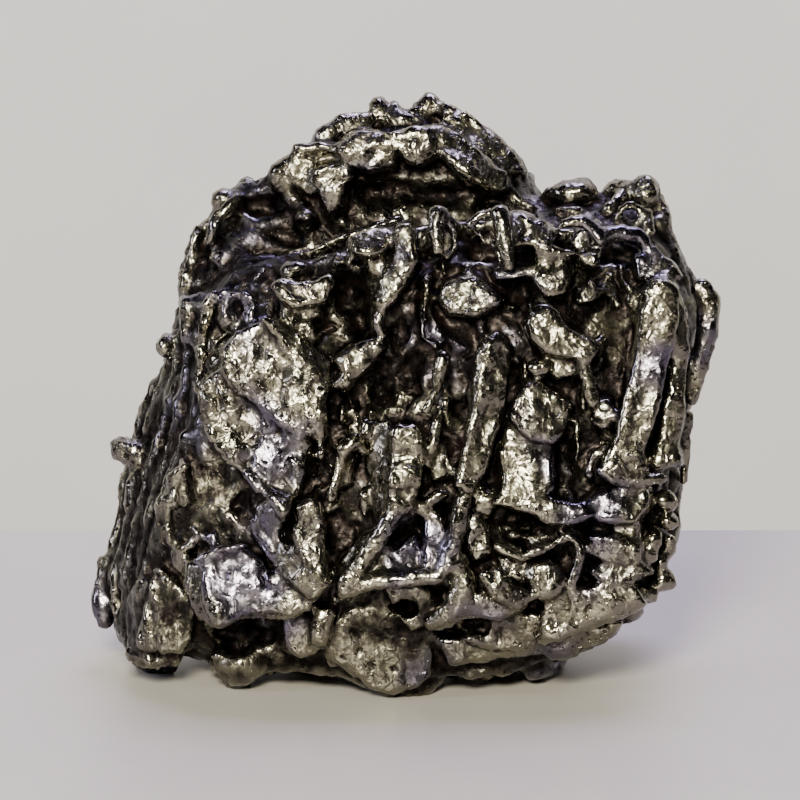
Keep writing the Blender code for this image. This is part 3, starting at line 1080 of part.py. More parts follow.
def main():
    for obj in list(bpy.data.objects):
        bpy.data.objects.remove(obj, do_unlink=True)
    stones = collection_named("iron_meteorite")
    cutters = collection_named("cutters")
    cutters.hide_render = True

    shell = bmesh.new()
    add_masses(shell)
    bmesh.ops.recalc_face_normals(shell, faces=shell.faces)
    tree = BVHTree.FromBMesh(shell)
    hollows = bmesh.new()
    deep_pits(hollows)
    slots(hollows)
    back_ground(shell, hollows, tree)
    wild_blades(shell, hollows, tree)
    add_features(shell)

    stone = mesh_object("meteorite", shell, stones)
    pits = mesh_object("hollows", hollows, cutters)
    make_cutter(pits)
    voxel_fuse(pits, HOLLOW_VOXEL)
    pits.modifiers.new("thin", "DECIMATE").ratio = 0.25
    voxel_fuse(stone, FUSE_VOXEL)
    carve(stone, "hollow_out", pits)
    voxel_fuse(stone, FUSE_VOXEL)
    soften = stone.modifiers.new("soften", "SMOOTH")
    soften.factor = 0.5
    soften.iterations = SOFTEN_PASSES
    keep_largest(settle(stone))

    thin = stone.modifiers.new("thin", "DECIMATE")
    thin.ratio = SOLID_TRIANGLES / (2.0 * len(stone.data.polygons))
    thin.use_collapse_triangulate = True
    lean = Matrix.Rotation(-FACE_LEAN, 4, "X")
    lift = Matrix.Translation((0.0, 0.0, -FLOOR_OFFSET * math.cos(FACE_LEAN) * MM))
    keep_largest(settle(stone, lift @ lean))

    bench_mesh = bmesh.new()
    bmesh.ops.create_cube(
        bench_mesh, size=1.0, matrix=Matrix.Translation((0, 0.02, -0.01)) @ Matrix.Diagonal((0.2, 0.2, 0.02, 1))
    )
    bench = mesh_object("bench", bench_mesh, cutters)
    make_cutter(bench)
    carve(stone, "flat_feet", bench)
    mesh = settle(stone)
    keep_largest(mesh)
    xs = [v.co.x for v in mesh.vertices]
    ys = [v.co.y for v in mesh.vertices]
    mesh.transform(Matrix.Translation((-(min(xs) + max(xs)) / 2, -(min(ys) + max(ys)) / 2, 0.0)))
    mesh.materials.clear()
    mesh.materials.append(iron())


if __name__ == "__main__":
    main()
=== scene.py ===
"""Iron meteorite: the fine stone, its iron and the table it lies on, laid out as an add-on.

The stone is shaped in a working frame in millimetres: u runs across its ribbed face, v up that
face and w into the stone. It is then leaned back, set on the table and fitted to the solid's box.
"""

import math
import random

import bmesh
import bpy
import numpy as np
from mathutils import Matrix, Vector, noise
from mathutils.bvhtree import BVHTree


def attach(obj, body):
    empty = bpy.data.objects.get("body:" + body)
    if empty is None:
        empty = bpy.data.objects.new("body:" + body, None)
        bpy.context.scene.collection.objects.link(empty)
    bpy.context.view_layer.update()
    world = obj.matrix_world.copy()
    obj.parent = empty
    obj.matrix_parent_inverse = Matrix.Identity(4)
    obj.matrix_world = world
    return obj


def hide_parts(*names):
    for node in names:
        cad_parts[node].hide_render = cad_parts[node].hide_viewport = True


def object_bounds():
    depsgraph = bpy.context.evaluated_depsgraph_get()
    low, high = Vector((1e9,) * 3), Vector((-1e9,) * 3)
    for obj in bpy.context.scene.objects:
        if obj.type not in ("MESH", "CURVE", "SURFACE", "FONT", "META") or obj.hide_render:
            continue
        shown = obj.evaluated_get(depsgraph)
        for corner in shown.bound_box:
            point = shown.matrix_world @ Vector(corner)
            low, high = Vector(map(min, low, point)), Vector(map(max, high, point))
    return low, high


bl_info = {
    "name": "Iron Meteorite",
    "version": (1, 0, 0),
    "blender": (4, 5, 0),
    "location": "3D View > Sidebar > Meteorite",
    "description": "Shapes a coarse iron meteorite and lays it on a pale table",
    "category": "Object",
}

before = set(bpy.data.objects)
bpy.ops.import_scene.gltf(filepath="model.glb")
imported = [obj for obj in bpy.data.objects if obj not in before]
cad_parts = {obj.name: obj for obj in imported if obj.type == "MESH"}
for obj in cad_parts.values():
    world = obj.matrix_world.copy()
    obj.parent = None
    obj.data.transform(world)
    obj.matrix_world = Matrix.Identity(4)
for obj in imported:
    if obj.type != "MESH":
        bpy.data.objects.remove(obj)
SOLID_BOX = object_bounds()
NODE = "meteorite"

MM = 0.001
FACE_LEAN = math.radians(12)
BLADE_WIDTH = 2.8
FLOOR_OFFSET = -2.13
FLOOR_SLOPE = math.tan(FACE_LEAN)

# How far the solid's middle lies from the working frame's zero.
SIDE_SHIFT = 0.41
DEPTH_SHIFT = 24.88

# The crystal directions that its blades follow, as (u, w, v).
GRAINS = (Vector((-0.25, 0.0, 1.0)), Vector((1.0, 0.2, -0.7)), Vector((0.5, 1.0, 0.3)))
BACK_SEED = 5
WILD_SEED = 11
WILD_PLACES = 520
RUBBLE_SEED = 3

# The body, level by level: v, u of the face's left and right corners, u of the stone's left and
# right sides, and w of its back.
BODY_LEVELS = (
    (1.6, -14.0, 11.0, -24.0, 15.0, 33.0),
    (5.0, -22.0, 19.0, -28.6, 21.0, 37.0),
    (10.0, -25.0, 23.5, -30.3, 24.5, 40.0),
    (16.0, -24.2, 25.5, -28.7, 27.0, 41.5),
    (22.0, -22.8, 26.0, -27.9, 28.0, 41.5),
    (28.0, -20.2, 26.5, -26.3, 28.3, 40.5),
    (34.0, -19.6, 27.0, -23.7, 29.6, 38.5),
    (40.0, -19.6, 27.6, -22.6, 30.6, 36.0),
    (43.5, -15.0, 25.0, -21.4, 27.6, 34.0),
)


def point(u, v, w):
    """A place on the stone, in metres, before it is leaned back."""
    return Vector((u, w, v)) * MM


def face_depth(u, v):
    """How deep the valleys of the ribbed face lie: it bulges in the middle and tucks in below."""
    across = 3.4 * ((u - 3.0) / 26.0) ** 2
    upward = 2.4 * ((v - 24.0) / 24.0) ** 2
    tuck = max(0.0, min(1.0, (11.0 - v) / 8.0))
    return 4.2 + across + upward + 3.0 * tuck * tuck * (3.0 - 2.0 * tuck)


def floor_height(w):
    """v of the table under a point that lies w into the stone."""
    return FLOOR_SLOPE * w + FLOOR_OFFSET


# ---------------------------------------------------------------- shapes


def loft(bm, rings):
    """A closed body through rings that have the same number of points."""
    made = [[bm.verts.new(point(*p)) for p in ring] for ring in rings]
    for low, high in zip(made, made[1:]):
        for i in range(len(low)):
            j = (i + 1) % len(low)
            bm.faces.new((low[i], low[j], high[j], high[i]))
    bm.faces.new(reversed(made[0]))
    bm.faces.new(made[-1])


def boulder(bm, points):
    """A rough block: the convex hull of its corners."""
    corners = [bm.verts.new(point(*p)) for p in points]
    hull = bmesh.ops.convex_hull(bm, input=corners)
    loose = [v for v in hull["geom_interior"] if isinstance(v, bmesh.types.BMVert)]
    bmesh.ops.delete(bm, geom=loose, context="VERTS")


def plate(bm, outline, rise, tilt=(0.0, 0.0), depth=5.0, flare=0.12, base=None):
    """A crystal plate that stands out of the face: its outline, how far it rises over the valleys,
    and how it slopes across and upwards. It widens by flare towards its root."""
    cu = sum(p[0] for p in outline) / len(outline)
    cv = sum(p[1] for p in outline) / len(outline)
    top = (face_depth(cu, cv) if base is None else base) - rise
    front = bm.faces.new(
        [bm.verts.new(point(u, v, top + tilt[0] * (u - cu) + tilt[1] * (v - cv))) for u, v in outline]
    )
    moved = bmesh.ops.extrude_face_region(bm, geom=[front], use_keep_orig=True)["geom"]
    root = [v for v in moved if isinstance(v, bmesh.types.BMVert)]
    middle = point(cu, cv, 0.0)
    for vert in root:
        vert.co.x = middle.x + (vert.co.x - middle.x) * (1 + flare)
        vert.co.z = middle.z + (vert.co.z - middle.z) * (1 + flare)
        vert.co.y = (top + depth) * MM


def ball_form():
    """The corners and faces of a unit ball, shared by every knob."""
    bm = bmesh.new()
    bmesh.ops.create_icosphere(bm, subdivisions=2, radius=1.0)
    form = [v.co.copy() for v in bm.verts], [[v.index for v in f.verts] for f in bm.faces]
    bm.free()
    return form


BALL = ball_form()


def ridge(bm, path, rise=None, sides=8):
    """A rounded rib along (u, v, radius) points at a given rise over the face, or along
    (u, v, w, radius) points anywhere on the stone, with a round knob at each point."""
    places = [p if len(p) == 4 else (p[0], p[1], face_depth(p[0], p[1]) - rise, p[2]) for p in path]
    for u, v, w, radius in places:
        knob(bm, (u, v, w), (radius,) * 3)
    for a, b in zip(places, places[1:]):
        start, end = point(*a[:3]), point(*b[:3])
        turn = (end - start).to_track_quat("Z", "Y").to_matrix()
        spokes = [
            turn @ Vector((math.cos(math.tau * i / sides), math.sin(math.tau * i / sides), 0.0))
            for i in range(sides)
        ]
        low = [bm.verts.new(start + spoke * a[3] * MM) for spoke in spokes]
        high = [bm.verts.new(end + spoke * b[3] * MM) for spoke in spokes]
        for i in range(sides):
            j = (i + 1) % sides
            bm.faces.new((low[i], low[j], high[j], high[i]))
        bm.faces.new(low[::-1])
        bm.faces.new(high)


def knob(bm, centre, radii):
    """A rounded lump with its three radii along u, v and w."""
    ru, rv, rw = radii
    middle = point(*centre)
    corners, faces = BALL
    verts = [bm.verts.new(middle + Vector((c.x * ru, c.y * rw, c.z * rv)) * MM) for c in corners]
    for face in faces:
        bm.faces.new([verts[i] for i in face])


def body_rings():
    rings = []
    for v, face_left, face_right, side_left, side_right, back in BODY_LEVELS:
        front = (
            (face_left, 1.6),
            (face_left * 0.5 + 1.5, 0.3),
            (3.0, 0.0),
            (face_right * 0.6, 0.3),
            (face_right, 1.0),
        )
        ring = [(u, face_depth(u, v) + w) for u, w in front]
        ring += [
            (side_right, 17.0),
            (side_right - 1.0, back - 11.0),
            (side_right * 0.55, back - 1.5),
            (-2.0, back),
            (side_left * 0.6, back - 2.0),
            (side_left + 1.5, back - 10.0),
            (side_left, 21.0),
        ]
        sink = max(0.0, 1.0 - v / 22.0)
        rings.append([(u, v + sink * (FLOOR_SLOPE * (w - 8.0)), w) for u, w in ring])
    return rings


# ---------------------------------------------------------------- the main masses


def body(bm):
    loft(bm, body_rings())


def cap_mass(bm):
    """The crown that stands behind the ribbed face, above the long cleft."""
    boulder(bm, (
        (-19.5, 42.5, 13.0), (-8.0, 45.5, 14.5), (6.0, 48.0, 15.0), (14.0, 48.5, 16.0),
        (-18.6, 48.6, 16.5), (-13.0, 52.6, 16.0), (-9.0, 54.4, 16.0), (-5.0, 56.2, 16.5),
        (3.0, 57.0, 16.5), (9.8, 53.4, 18.0), (13.8, 50.8, 19.0),
        (-17.3, 50.4, 20.0), (-12.8, 53.1, 20.0), (-6.2, 56.8, 20.0), (4.0, 59.2, 20.0),
        (8.0, 57.4, 21.0), (10.8, 55.0, 22.0), (12.6, 53.0, 23.0), (14.3, 50.9, 24.0),
        (-18.0, 45.0, 31.0), (-12.0, 50.0, 31.0), (-2.0, 53.5, 30.0), (6.0, 54.0, 30.0),
        (12.0, 50.0, 32.0), (15.0, 45.0, 33.0), (-18.0, 38.0, 30.0), (15.0, 38.0, 30.0),
    ))


def shoulder_mass(bm):
    """The lower, lumpy shoulder to the right of the crown."""
    boulder(bm, (
        (13.5, 47.2, 11.5), (20.0, 46.6, 11.5), (25.0, 46.0, 12.0), (28.0, 42.2, 12.5),
        (13.0, 50.2, 18.0), (17.0, 50.8, 18.0), (22.0, 50.2, 17.0), (25.2, 50.2, 17.0),
        (27.0, 45.6, 18.0), (28.2, 43.2, 18.0), (14.5, 49.8, 26.0), (20.0, 49.2, 28.0),
        (25.0, 48.0, 27.0), (27.0, 43.0, 28.0), (27.0, 38.0, 30.0), (14.0, 40.0, 32.0),
    ))


def brow_mass(bm):
    """The top edge of the ribbed face, in front of the cleft."""
    boulder(bm, (
        (-19.4, 40.4, 8.8), (-12.0, 42.0, 8.0), (-5.0, 45.0, 8.0), (4.0, 47.8, 8.4),
        (10.0, 47.9, 8.8), (19.0, 46.8, 9.6), (24.0, 45.4, 10.6), (28.0, 41.2, 12.0),
        (-19.0, 36.0, 20.0), (28.0, 36.0, 20.0), (5.0, 45.0, 18.0), (-10.0, 43.0, 18.0),
    ))


def ear_mass(bm):
    """The tall thin lobe at the left end of the cleft."""
    boulder(bm, (
        (-22.6, 40.5, 21.0), (-22.0, 44.0, 20.0), (-20.9, 47.0, 19.0), (-20.0, 47.5, 19.0),
        (-19.2, 46.4, 18.0), (-19.6, 41.0, 15.0), (-20.6, 38.0, 14.0), (-19.4, 46.0, 26.0),
        (-21.6, 41.0, 28.0), (-20.0, 36.0, 24.0),
    ))


def feet(bm):
    """The lumps that the stone stands on, which reach just below the table so that they end flat."""
    boulder(bm, (
        (-11.0, 4.6, 11.0), (-8.0, 3.4, 10.0), (-4.0, 1.4, 9.2), (-1.0, -0.3, 9.6),
        (2.5, -0.2, 10.2), (4.4, 1.9, 10.8), (3.0, 6.5, 9.2), (-3.0, 7.5, 8.6),
        (-9.0, 7.5, 9.2), (-12.0, 7.5, 10.5), (0.0, 0.4, 14.0), (4.0, 1.6, 16.0),
        (-6.0, 2.0, 18.0), (5.0, 4.0, 20.0), (-10.0, 5.0, 20.0),
    ))
    boulder(bm, (
        (-26.3, 12.0, 10.8), (-22.0, 9.5, 9.8), (-21.0, 6.0, 10.2), (-22.0, 4.2, 11.4),
        (-26.4, 3.5, 13.0), (-27.3, 3.7, 15.0), (-28.2, 6.0, 17.0), (-29.2, 7.4, 20.0),
        (-26.2, 1.9, 22.0), (-23.4, 1.9, 20.5), (-27.8, 4.2, 26.0), (-22.0, 9.0, 26.0),
    ))
    knob(bm, (-16.3, 3.6, 12.4), (3.0, 2.5, 3.0))
    knob(bm, (-16.5, 1.7, 14.0), (1.5, 1.1, 1.6))
    boulder(bm, (
        (5.0, 3.6, 10.0), (9.0, 4.4, 9.6), (13.0, 4.9, 9.6), (13.6, 3.4, 13.0),
        (12.0, 3.0, 14.0), (9.0, 3.4, 13.0), (6.0, 3.0, 12.0), (6.0, 6.0, 14.0), (13.0, 6.0, 14.0),
    ))
    boulder(bm, (
        (14.0, 5.2, 10.0), (20.0, 7.2, 9.6), (22.2, 8.0, 10.0), (22.0, 6.0, 13.0),
        (20.5, 5.0, 15.0), (18.0, 4.2, 14.0), (15.0, 3.4, 14.0), (14.0, 8.0, 14.0), (22.0, 8.0, 17.0),
    ))
    boulder(bm, (
        (11.0, 3.0, 17.0), (12.4, 2.0, 20.5), (14.6, 2.0, 23.2), (17.0, 3.0, 24.5),
        (15.0, 7.0, 14.0), (10.0, 7.0, 16.0), (17.0, 7.0, 25.0), (11.0, 7.0, 25.0),
    ))
    boulder(bm, (
        (-11.0, 3.9, 31.0), (-6.4, 4.1, 33.0), (-8.5, 4.1, 34.0),
        (-7.0, 9.0, 37.0), (-12.0, 9.0, 35.0), (-9.0, 10.0, 27.0),
    ))
    boulder(bm, (
        (8.0, 4.1, 32.0), (12.0, 4.3, 34.0), (9.5, 4.4, 35.0),
        (13.0, 10.0, 37.5), (7.0, 10.0, 38.0), (10.0, 11.0, 28.0),
    ))


# ---------------------------------------------------------------- the crown


def crown_slabs(bm):
    """The roof of the cap: a bright rim with pitted plates under it, and two long slabs beside it."""
    plate(
        bm,
        ((-6.2, 55.6), (-4.6, 56.7), (-3.2, 57.2), (-1.4, 56.8), (0.2, 56.9), (1.6, 57.4), (3.0, 57.1),
         (3.6, 56.0), (2.6, 55.2), (0.0, 55.0), (-3.0, 55.3), (-5.2, 54.8)),
        4.6, tilt=(0.0, 0.3), base=16.4,
    )
    plate(
        bm, ((-6.4, 54.9), (-5.0, 55.6), (-2.8, 54.6), (-2.0, 53.0), (-3.4, 52.6), (-5.4, 53.6)),
        4.4, base=16.0,
    )
    plate(bm, ((-2.8, 55.4), (-0.6, 55.4), (-0.4, 53.4), (-2.0, 53.0)), 4.0, base=16.0)
    plate(
        bm, ((-0.4, 55.8), (3.4, 56.2), (3.6, 54.4), (2.0, 53.4), (0.4, 54.0)),
        4.2, tilt=(0.0, 0.1), base=16.0,
    )
    plate(
        bm,
        ((3.0, 57.4), (4.4, 57.6), (7.6, 55.2), (10.8, 52.4), (10.6, 50.6), (8.6, 50.4), (6.6, 52.4),
         (3.8, 54.6)),
        4.2, tilt=(0.3, 0.3), base=16.6,
    )
    plate(
        bm, ((4.6, 54.8), (6.2, 54.4), (8.8, 52.0), (8.6, 50.8), (6.8, 51.8), (5.0, 53.6)),
        4.9, tilt=(0.25, 0.2), base=16.6,
    )
    plate(
        bm,
        ((4.1, 59.9), (5.4, 59.5), (9.6, 56.9), (12.4, 54.0), (12.8, 52.6), (11.4, 52.6), (8.0, 55.4),
         (4.3, 58.2)),
        3.2, tilt=(0.15, 0.3), flare=0.02, base=19.0,
    )
    plate(
        bm,
        ((-11.2, 54.2), (-10.0, 55.3), (-7.0, 55.8), (-5.4, 55.2), (-5.6, 53.2), (-6.4, 50.6),
         (-9.2, 50.4), (-11.0, 52.0)),
        3.0, tilt=(0.1, 0.15), base=16.6,
    )
    ridge(bm, ((-10.4, 55.0, 13.8, 0.5), (-8.0, 55.3, 13.4, 0.5), (-5.8, 55.0, 13.2, 0.5)))
    ridge(bm, ((-8.0, 56.3, 16.4, 1.0), (-5.6, 57.6, 16.8, 1.1), (-3.6, 58.0, 17.2, 0.9)))


def crown_front(bm):
    plate(
        bm,
        ((-8.8, 52.8), (-8.0, 53.4), (-5.5, 53.4), (-4.8, 52.4), (-5.6, 50.6), (-5.8, 48.3),
         (-5.4, 47.4), (-7.4, 48.0), (-8.0, 50.2), (-8.8, 51.4)),
        3.9, base=16.0,
    )
    plate(bm, ((-13.0, 53.2), (-11.2, 54.2), (-10.4, 52.0), (-11.5, 51.0), (-13.0, 51.6)), 2.6, base=16.4)
    knob(bm, (-9.5, 48.0, 13.2), (1.5, 1.4, 1.6))
    knob(bm, (-17.6, 49.8, 17.0), (1.5, 1.4, 1.5))
    knob(bm, (-15.6, 51.0, 17.6), (1.7, 0.9, 1.3))
    ridge(bm, ((-19.3, 45.8, 14.0, 0.6), (-18.4, 48.4, 14.2, 0.7), (-16.2, 50.0, 15.0, 0.7)))
    ridge(bm, ((-20.4, 47.1, 17.6, 0.7), (-21.5, 43.5, 17.2, 0.8), (-21.8, 41.0, 16.8, 0.7)))
    ridge(bm, ((-11.8, 51.4, 15.2, 0.9), (-10.6, 49.6, 14.2, 0.9)))


def crown_knobs(bm):
    """The two dark clusters on the very top, with a notch between them."""
    knob(bm, (0.6, 58.2, 19.2), (3.2, 1.1, 1.8))
    for u, v, ru, rv in (
        (-2.2, 59.3, 1.1, 1.3), (-3.0, 58.3, 0.9, 1.0), (-1.2, 58.7, 0.9, 0.9),
        (-0.6, 59.3, 0.4, 0.8), (2.9, 59.7, 1.0, 1.4), (2.0, 59.1, 0.9, 1.0), (3.7, 59.2, 0.7, 0.9),
    ):
        knob(bm, (u, v, 19.2), (ru, rv, 1.2))


def shoulder_lumps(bm):
    knob(bm, (17.3, 50.6, 17.2), (3.0, 1.3, 2.4))
    knob(bm, (18.4, 51.2, 17.4), (1.4, 0.9, 1.4))
    knob(bm, (24.8, 50.6, 16.4), (1.5, 1.9, 1.7))
    knob(bm, (22.6, 51.0, 18.0), (2.0, 1.1, 1.8))
    ridge(bm, ((22.9, 51.4, 17.0, 0.7), (22.4, 50.3, 15.6, 0.6), (21.2, 49.3, 14.4, 0.6)))
    ridge(
        bm,
        ((26.0, 50.0, 17.0, 0.8), (26.8, 47.0, 16.0, 0.8), (27.7, 44.6, 16.0, 0.8),
         (28.3, 43.4, 16.0, 0.7)),
    )
    ridge(bm, ((25.0, 48.6, 13.6, 0.7), (25.2, 46.8, 12.6, 0.6)))
    ring(bm, (23.3, 48.4, 13.2), 1.1, 0.4)
    knob(bm, (17.0, 49.0, 14.4), (1.8, 0.6, 1.4))
    knob(bm, (28.4, 43.3, 17.0), (0.7, 0.9, 0.9))


# ---------------------------------------------------------------- the brow of the ribbed face


def ring(bm, centre, radius, rib, start=0, sweep=360, steps=10):
    """A raised rim round a small pit."""
    u, v, w = centre
    angles = [math.radians(start + sweep * i / steps) for i in range(steps + 1)]
    ridge(bm, [(u + radius * math.cos(a), v + radius * math.sin(a), w, rib) for a in angles], sides=6)


def brow_left(bm):
    knob(bm, (-16.2, 38.6, 6.2), (2.2, 2.4, 2.2))
    ring(bm, (-16.2, 39.0, 4.4), 1.5, 0.4, start=-60, sweep=300)
    plate(bm, ((-18.2, 37.8), (-17.5, 36.9), (-16.0, 36.4), (-15.2, 37.4), (-16.5, 37.9)), 2.4)
    ridge(bm, ((-19.6, 39.0, 0.4), (-19.2, 39.9, 0.4), (-18.5, 40.4, 0.4)), 1.4)
    ridge(bm, ((-19.0, 39.5, 0.45), (-19.7, 37.0, 0.5), (-20.1, 33.0, 0.5), (-20.2, 31.0, 0.5)), 1.0)
    plate(
        bm,
        ((-12.8, 41.0), (-11.5, 41.8), (-10.0, 41.4), (-8.2, 41.4), (-7.0, 42.3), (-6.4, 40.7),
         (-7.5, 39.5), (-10.0, 38.9), (-11.7, 39.3)),
        4.4, tilt=(0.0, 0.25),
    )
    plate(bm, ((-11.8, 39.6), (-8.6, 39.6), (-7.6, 38.0), (-8.0, 35.6), (-10.0, 35.9), (-11.6, 37.5)), 3.0)
    knob(bm, (-10.5, 42.7, 7.4), (2.1, 0.9, 1.7))
    knob(bm, (-6.7, 43.5, 8.0), (1.7, 1.0, 1.7))
    plate(
        bm,
        ((-5.0, 45.7), (-3.5, 46.6), (-1.5, 46.9), (-0.4, 46.2), (-1.4, 44.6), (-3.5, 44.1), (-4.8, 44.6)),
        4.2, tilt=(0.0, 0.6),
    )
    ridge(bm, ((-5.0, 45.4, 0.4), (-4.8, 44.4, 0.35), (-5.2, 43.3, 0.35)), 3.4)
    plate(bm, ((-3.5, 44.0), (-1.5, 44.2), (-1.8, 42.2), (-3.0, 42.4)), 2.6)
    ridge(
        bm,
        ((-17.0, 42.4, 9.8, 0.5), (-13.0, 43.7, 9.8, 0.5), (-9.0, 44.7, 10.2, 0.5), (-5.5, 46.2, 10.6, 0.5),
         (0.0, 47.9, 11.0, 0.5)),
    )


def brow_middle(bm):
    plate(
        bm,
        ((-0.3, 46.9), (0.9, 47.4), (1.5, 46.2), (1.7, 43.4), (1.0, 41.8), (-0.8, 39.5), (-1.8, 39.0),
         (-2.6, 39.6), (-1.4, 42.7), (-0.6, 44.7)),
        4.6, tilt=(-0.2, 0.12),
    )
    plate(bm, ((-3.0, 43.5), (-1.4, 43.0), (-1.9, 40.5), (-2.9, 39.8), (-4.0, 41.5)), 1.8)
    ridge(bm, ((3.7, 48.2, 0.9), (3.6, 47.0, 0.8), (3.8, 44.6, 0.7)), 4.6)
    ridge(bm, ((4.0, 48.3, 0.5), (5.2, 47.2, 0.5), (5.6, 44.9, 0.5), (4.6, 43.8, 0.4)), 3.7)
    plate(bm, ((3.8, 47.5), (5.0, 47.0), (5.4, 45.0), (4.2, 44.2)), 2.8)
    ridge(bm, ((6.8, 47.2, 0.4), (8.0, 48.1, 0.45), (10.0, 48.5, 0.45)), 3.6)
    ridge(bm, ((6.8, 47.2, 0.35), (8.0, 46.2, 0.35), (8.6, 45.2, 0.35)), 3.0)
    ridge(bm, ((9.8, 48.2, 0.8), (10.1, 46.6, 0.9), (10.6, 45.0, 0.85), (11.0, 43.0, 0.65)), 5.0)
    plate(
        bm,
        ((10.0, 48.5), (12.0, 48.4), (14.5, 47.6), (16.0, 46.4), (15.0, 45.4), (12.5, 45.2), (10.6, 45.0)),
        4.2, tilt=(0.15, 0.5),
    )
    plate(bm, ((9.4, 42.9), (13.0, 43.2), (12.8, 41.8), (9.6, 41.7)), 3.8, tilt=(0.0, 0.4))
    plate(
        bm, ((2.0, 42.2), (3.2, 42.6), (3.2, 38.8), (4.6, 36.0), (4.2, 35.2), (2.2, 35.8), (1.8, 39.0)),
        1.8,
    )
    ridge(bm, ((2.6, 41.8, 0.4), (2.4, 38.6, 0.4), (2.2, 36.0, 0.4), (3.6, 35.0, 0.4)), 2.6)


def brow_right(bm):
    knob(bm, (18.6, 45.3, 7.4), (1.9, 2.2, 1.9))
    ring(bm, (18.8, 45.5, 5.9), 1.2, 0.5, start=-40, sweep=290)
    plate(bm, ((17.6, 44.3), (20.0, 44.5), (19.6, 43.1), (18.4, 42.9)), 3.8)
    ridge(bm, ((16.4, 47.4, 0.6), (18.0, 47.7, 0.6), (19.4, 46.8, 0.55), (20.2, 45.5, 0.5)), 3.2)
    plate(
        bm,
        ((13.4, 44.4), (15.0, 44.3), (16.4, 44.0), (16.9, 42.2), (16.2, 40.4), (14.6, 39.9), (13.5, 41.2),
         (13.4, 42.8)),
        4.0, tilt=(0.1, 0.2),
    )
    ridge(bm, ((13.6, 44.6, 0.5), (15.6, 44.5, 0.55), (17.6, 44.4, 0.5)), 4.0)
    ridge(bm, ((19.2, 42.0, 0.5), (19.2, 41.0, 0.6)), 3.4)
    plate(bm, ((17.4, 40.7), (19.2, 41.3), (21.0, 40.8), (19.4, 39.5), (17.8, 39.4)), 3.2, tilt=(0.0, 0.4))
    ridge(
        bm, ((20.0, 46.2, 0.7), (22.0, 46.5, 0.75), (24.0, 46.2, 0.75), (25.2, 44.9, 0.7), (26.2, 43.0, 0.7)),
        2.2,
    )
    plate(
        bm,
        ((23.6, 44.1), (25.5, 44.6), (27.2, 43.7), (28.4, 42.0), (26.0, 41.8), (23.8, 42.0)),
        3.0, tilt=(0.1, 0.3),
    )
    ridge(bm, ((22.5, 44.0, 0.45), (21.8, 43.0, 0.45), (22.4, 41.8, 0.45)), 2.2)


# ---------------------------------------------------------------- the ribbed face, left of the middle


def wrinkled_plate(bm):
    """The largest plate of the face: two crumpled leaves, a smooth roll and a crisp lower rim."""
    plate(
        bm,
        ((-17.6, 35.0), (-16.0, 36.8), (-13.8, 37.5), (-12.4, 36.8), (-10.0, 34.8), (-8.0, 32.8),
         (-7.2, 30.6), (-7.5, 27.8), (-10.0, 26.0), (-12.0, 27.2), (-14.6, 29.2), (-16.6, 30.8),
         (-17.9, 32.6)),
        4.7, tilt=(0.03, 0.04), flare=0.06,
    )
    plate(
        bm,
        ((-13.9, 37.9), (-12.2, 37.6), (-9.6, 35.8), (-7.2, 33.4), (-6.8, 30.6), (-8.0, 30.6),
         (-10.6, 34.0), (-13.0, 36.6)),
        4.4, tilt=(0.45, 0.1), flare=0.04,
    )
    plate(
        bm,
        ((-19.6, 31.4), (-18.4, 32.6), (-16.6, 30.9), (-14.6, 29.3), (-12.0, 27.3), (-9.8, 26.0),
         (-9.0, 25.6), (-9.6, 22.6), (-10.4, 19.6), (-11.6, 19.5), (-13.8, 20.9), (-15.6, 22.8),
         (-17.6, 24.7), (-19.2, 26.8), (-19.8, 29.2)),
        4.1, tilt=(-0.03, 0.06), flare=0.04,
    )
    ridge(
        bm,
        ((-19.6, 31.0, 0.45), (-19.8, 28.6, 0.5), (-19.0, 26.6, 0.5), (-17.4, 24.6, 0.5),
         (-15.6, 22.7, 0.5), (-13.8, 20.9, 0.55), (-11.4, 19.5, 0.6)),
        4.3,
    )
    for u, v, r in ((-10.8, 37.6, 1.1), (-9.2, 37.0, 0.95), (-8.1, 36.1, 0.85), (-11.4, 38.3, 0.7)):
        knob(bm, (u, v, 3.0), (r, r * 0.8, r))


def rough_valley(bm):
    """The broken ground between the wrinkled plate and the fingers."""
    plate(
        bm,
        ((-6.5, 31.2), (-5.6, 32.6), (-6.6, 33.7), (-5.2, 35.2), (-2.9, 36.0), (-1.4, 35.2),
         (-2.4, 33.8), (-4.0, 32.4), (-5.4, 30.8)),
        4.0, tilt=(0.1, 0.05), flare=0.06,
    )
    ridge(bm, ((-1.8, 39.4, 0.55), (-2.2, 37.4, 0.55), (-1.6, 36.0, 0.5)), 3.4)
    ridge(bm, ((-4.4, 25.9, 0.7), (-5.8, 24.7, 0.75), (-6.4, 22.3, 0.7), (-6.9, 19.9, 0.6)), 3.2)
    ridge(bm, ((-4.5, 25.8, 0.5), (-3.7, 24.6, 0.45)), 3.0)
    plate(bm, ((-6.0, 24.6), (-4.6, 24.4), (-4.8, 21.4), (-6.2, 20.6)), 2.6)
    for u, v, ru, rv, rise in (
        (-8.0, 26.6, 0.7, 1.3, 2.8), (-3.4, 27.0, 0.6, 1.3, 2.4), (-3.6, 19.6, 0.6, 1.7, 1.8),
        (-6.2, 18.5, 0.8, 0.8, 2.0), (-7.2, 28.2, 0.7, 1.0, 2.2), (-3.0, 23.2, 0.6, 1.4, 1.6),
        (-7.9, 24.4, 0.6, 0.9, 3.0), (-5.8, 28.4, 0.5, 1.4, 1.4),
    ):
        knob(bm, (u, v, face_depth(u, v) - rise), (ru, rv, 0.9))


# ---------------------------------------------------------------- the fingers


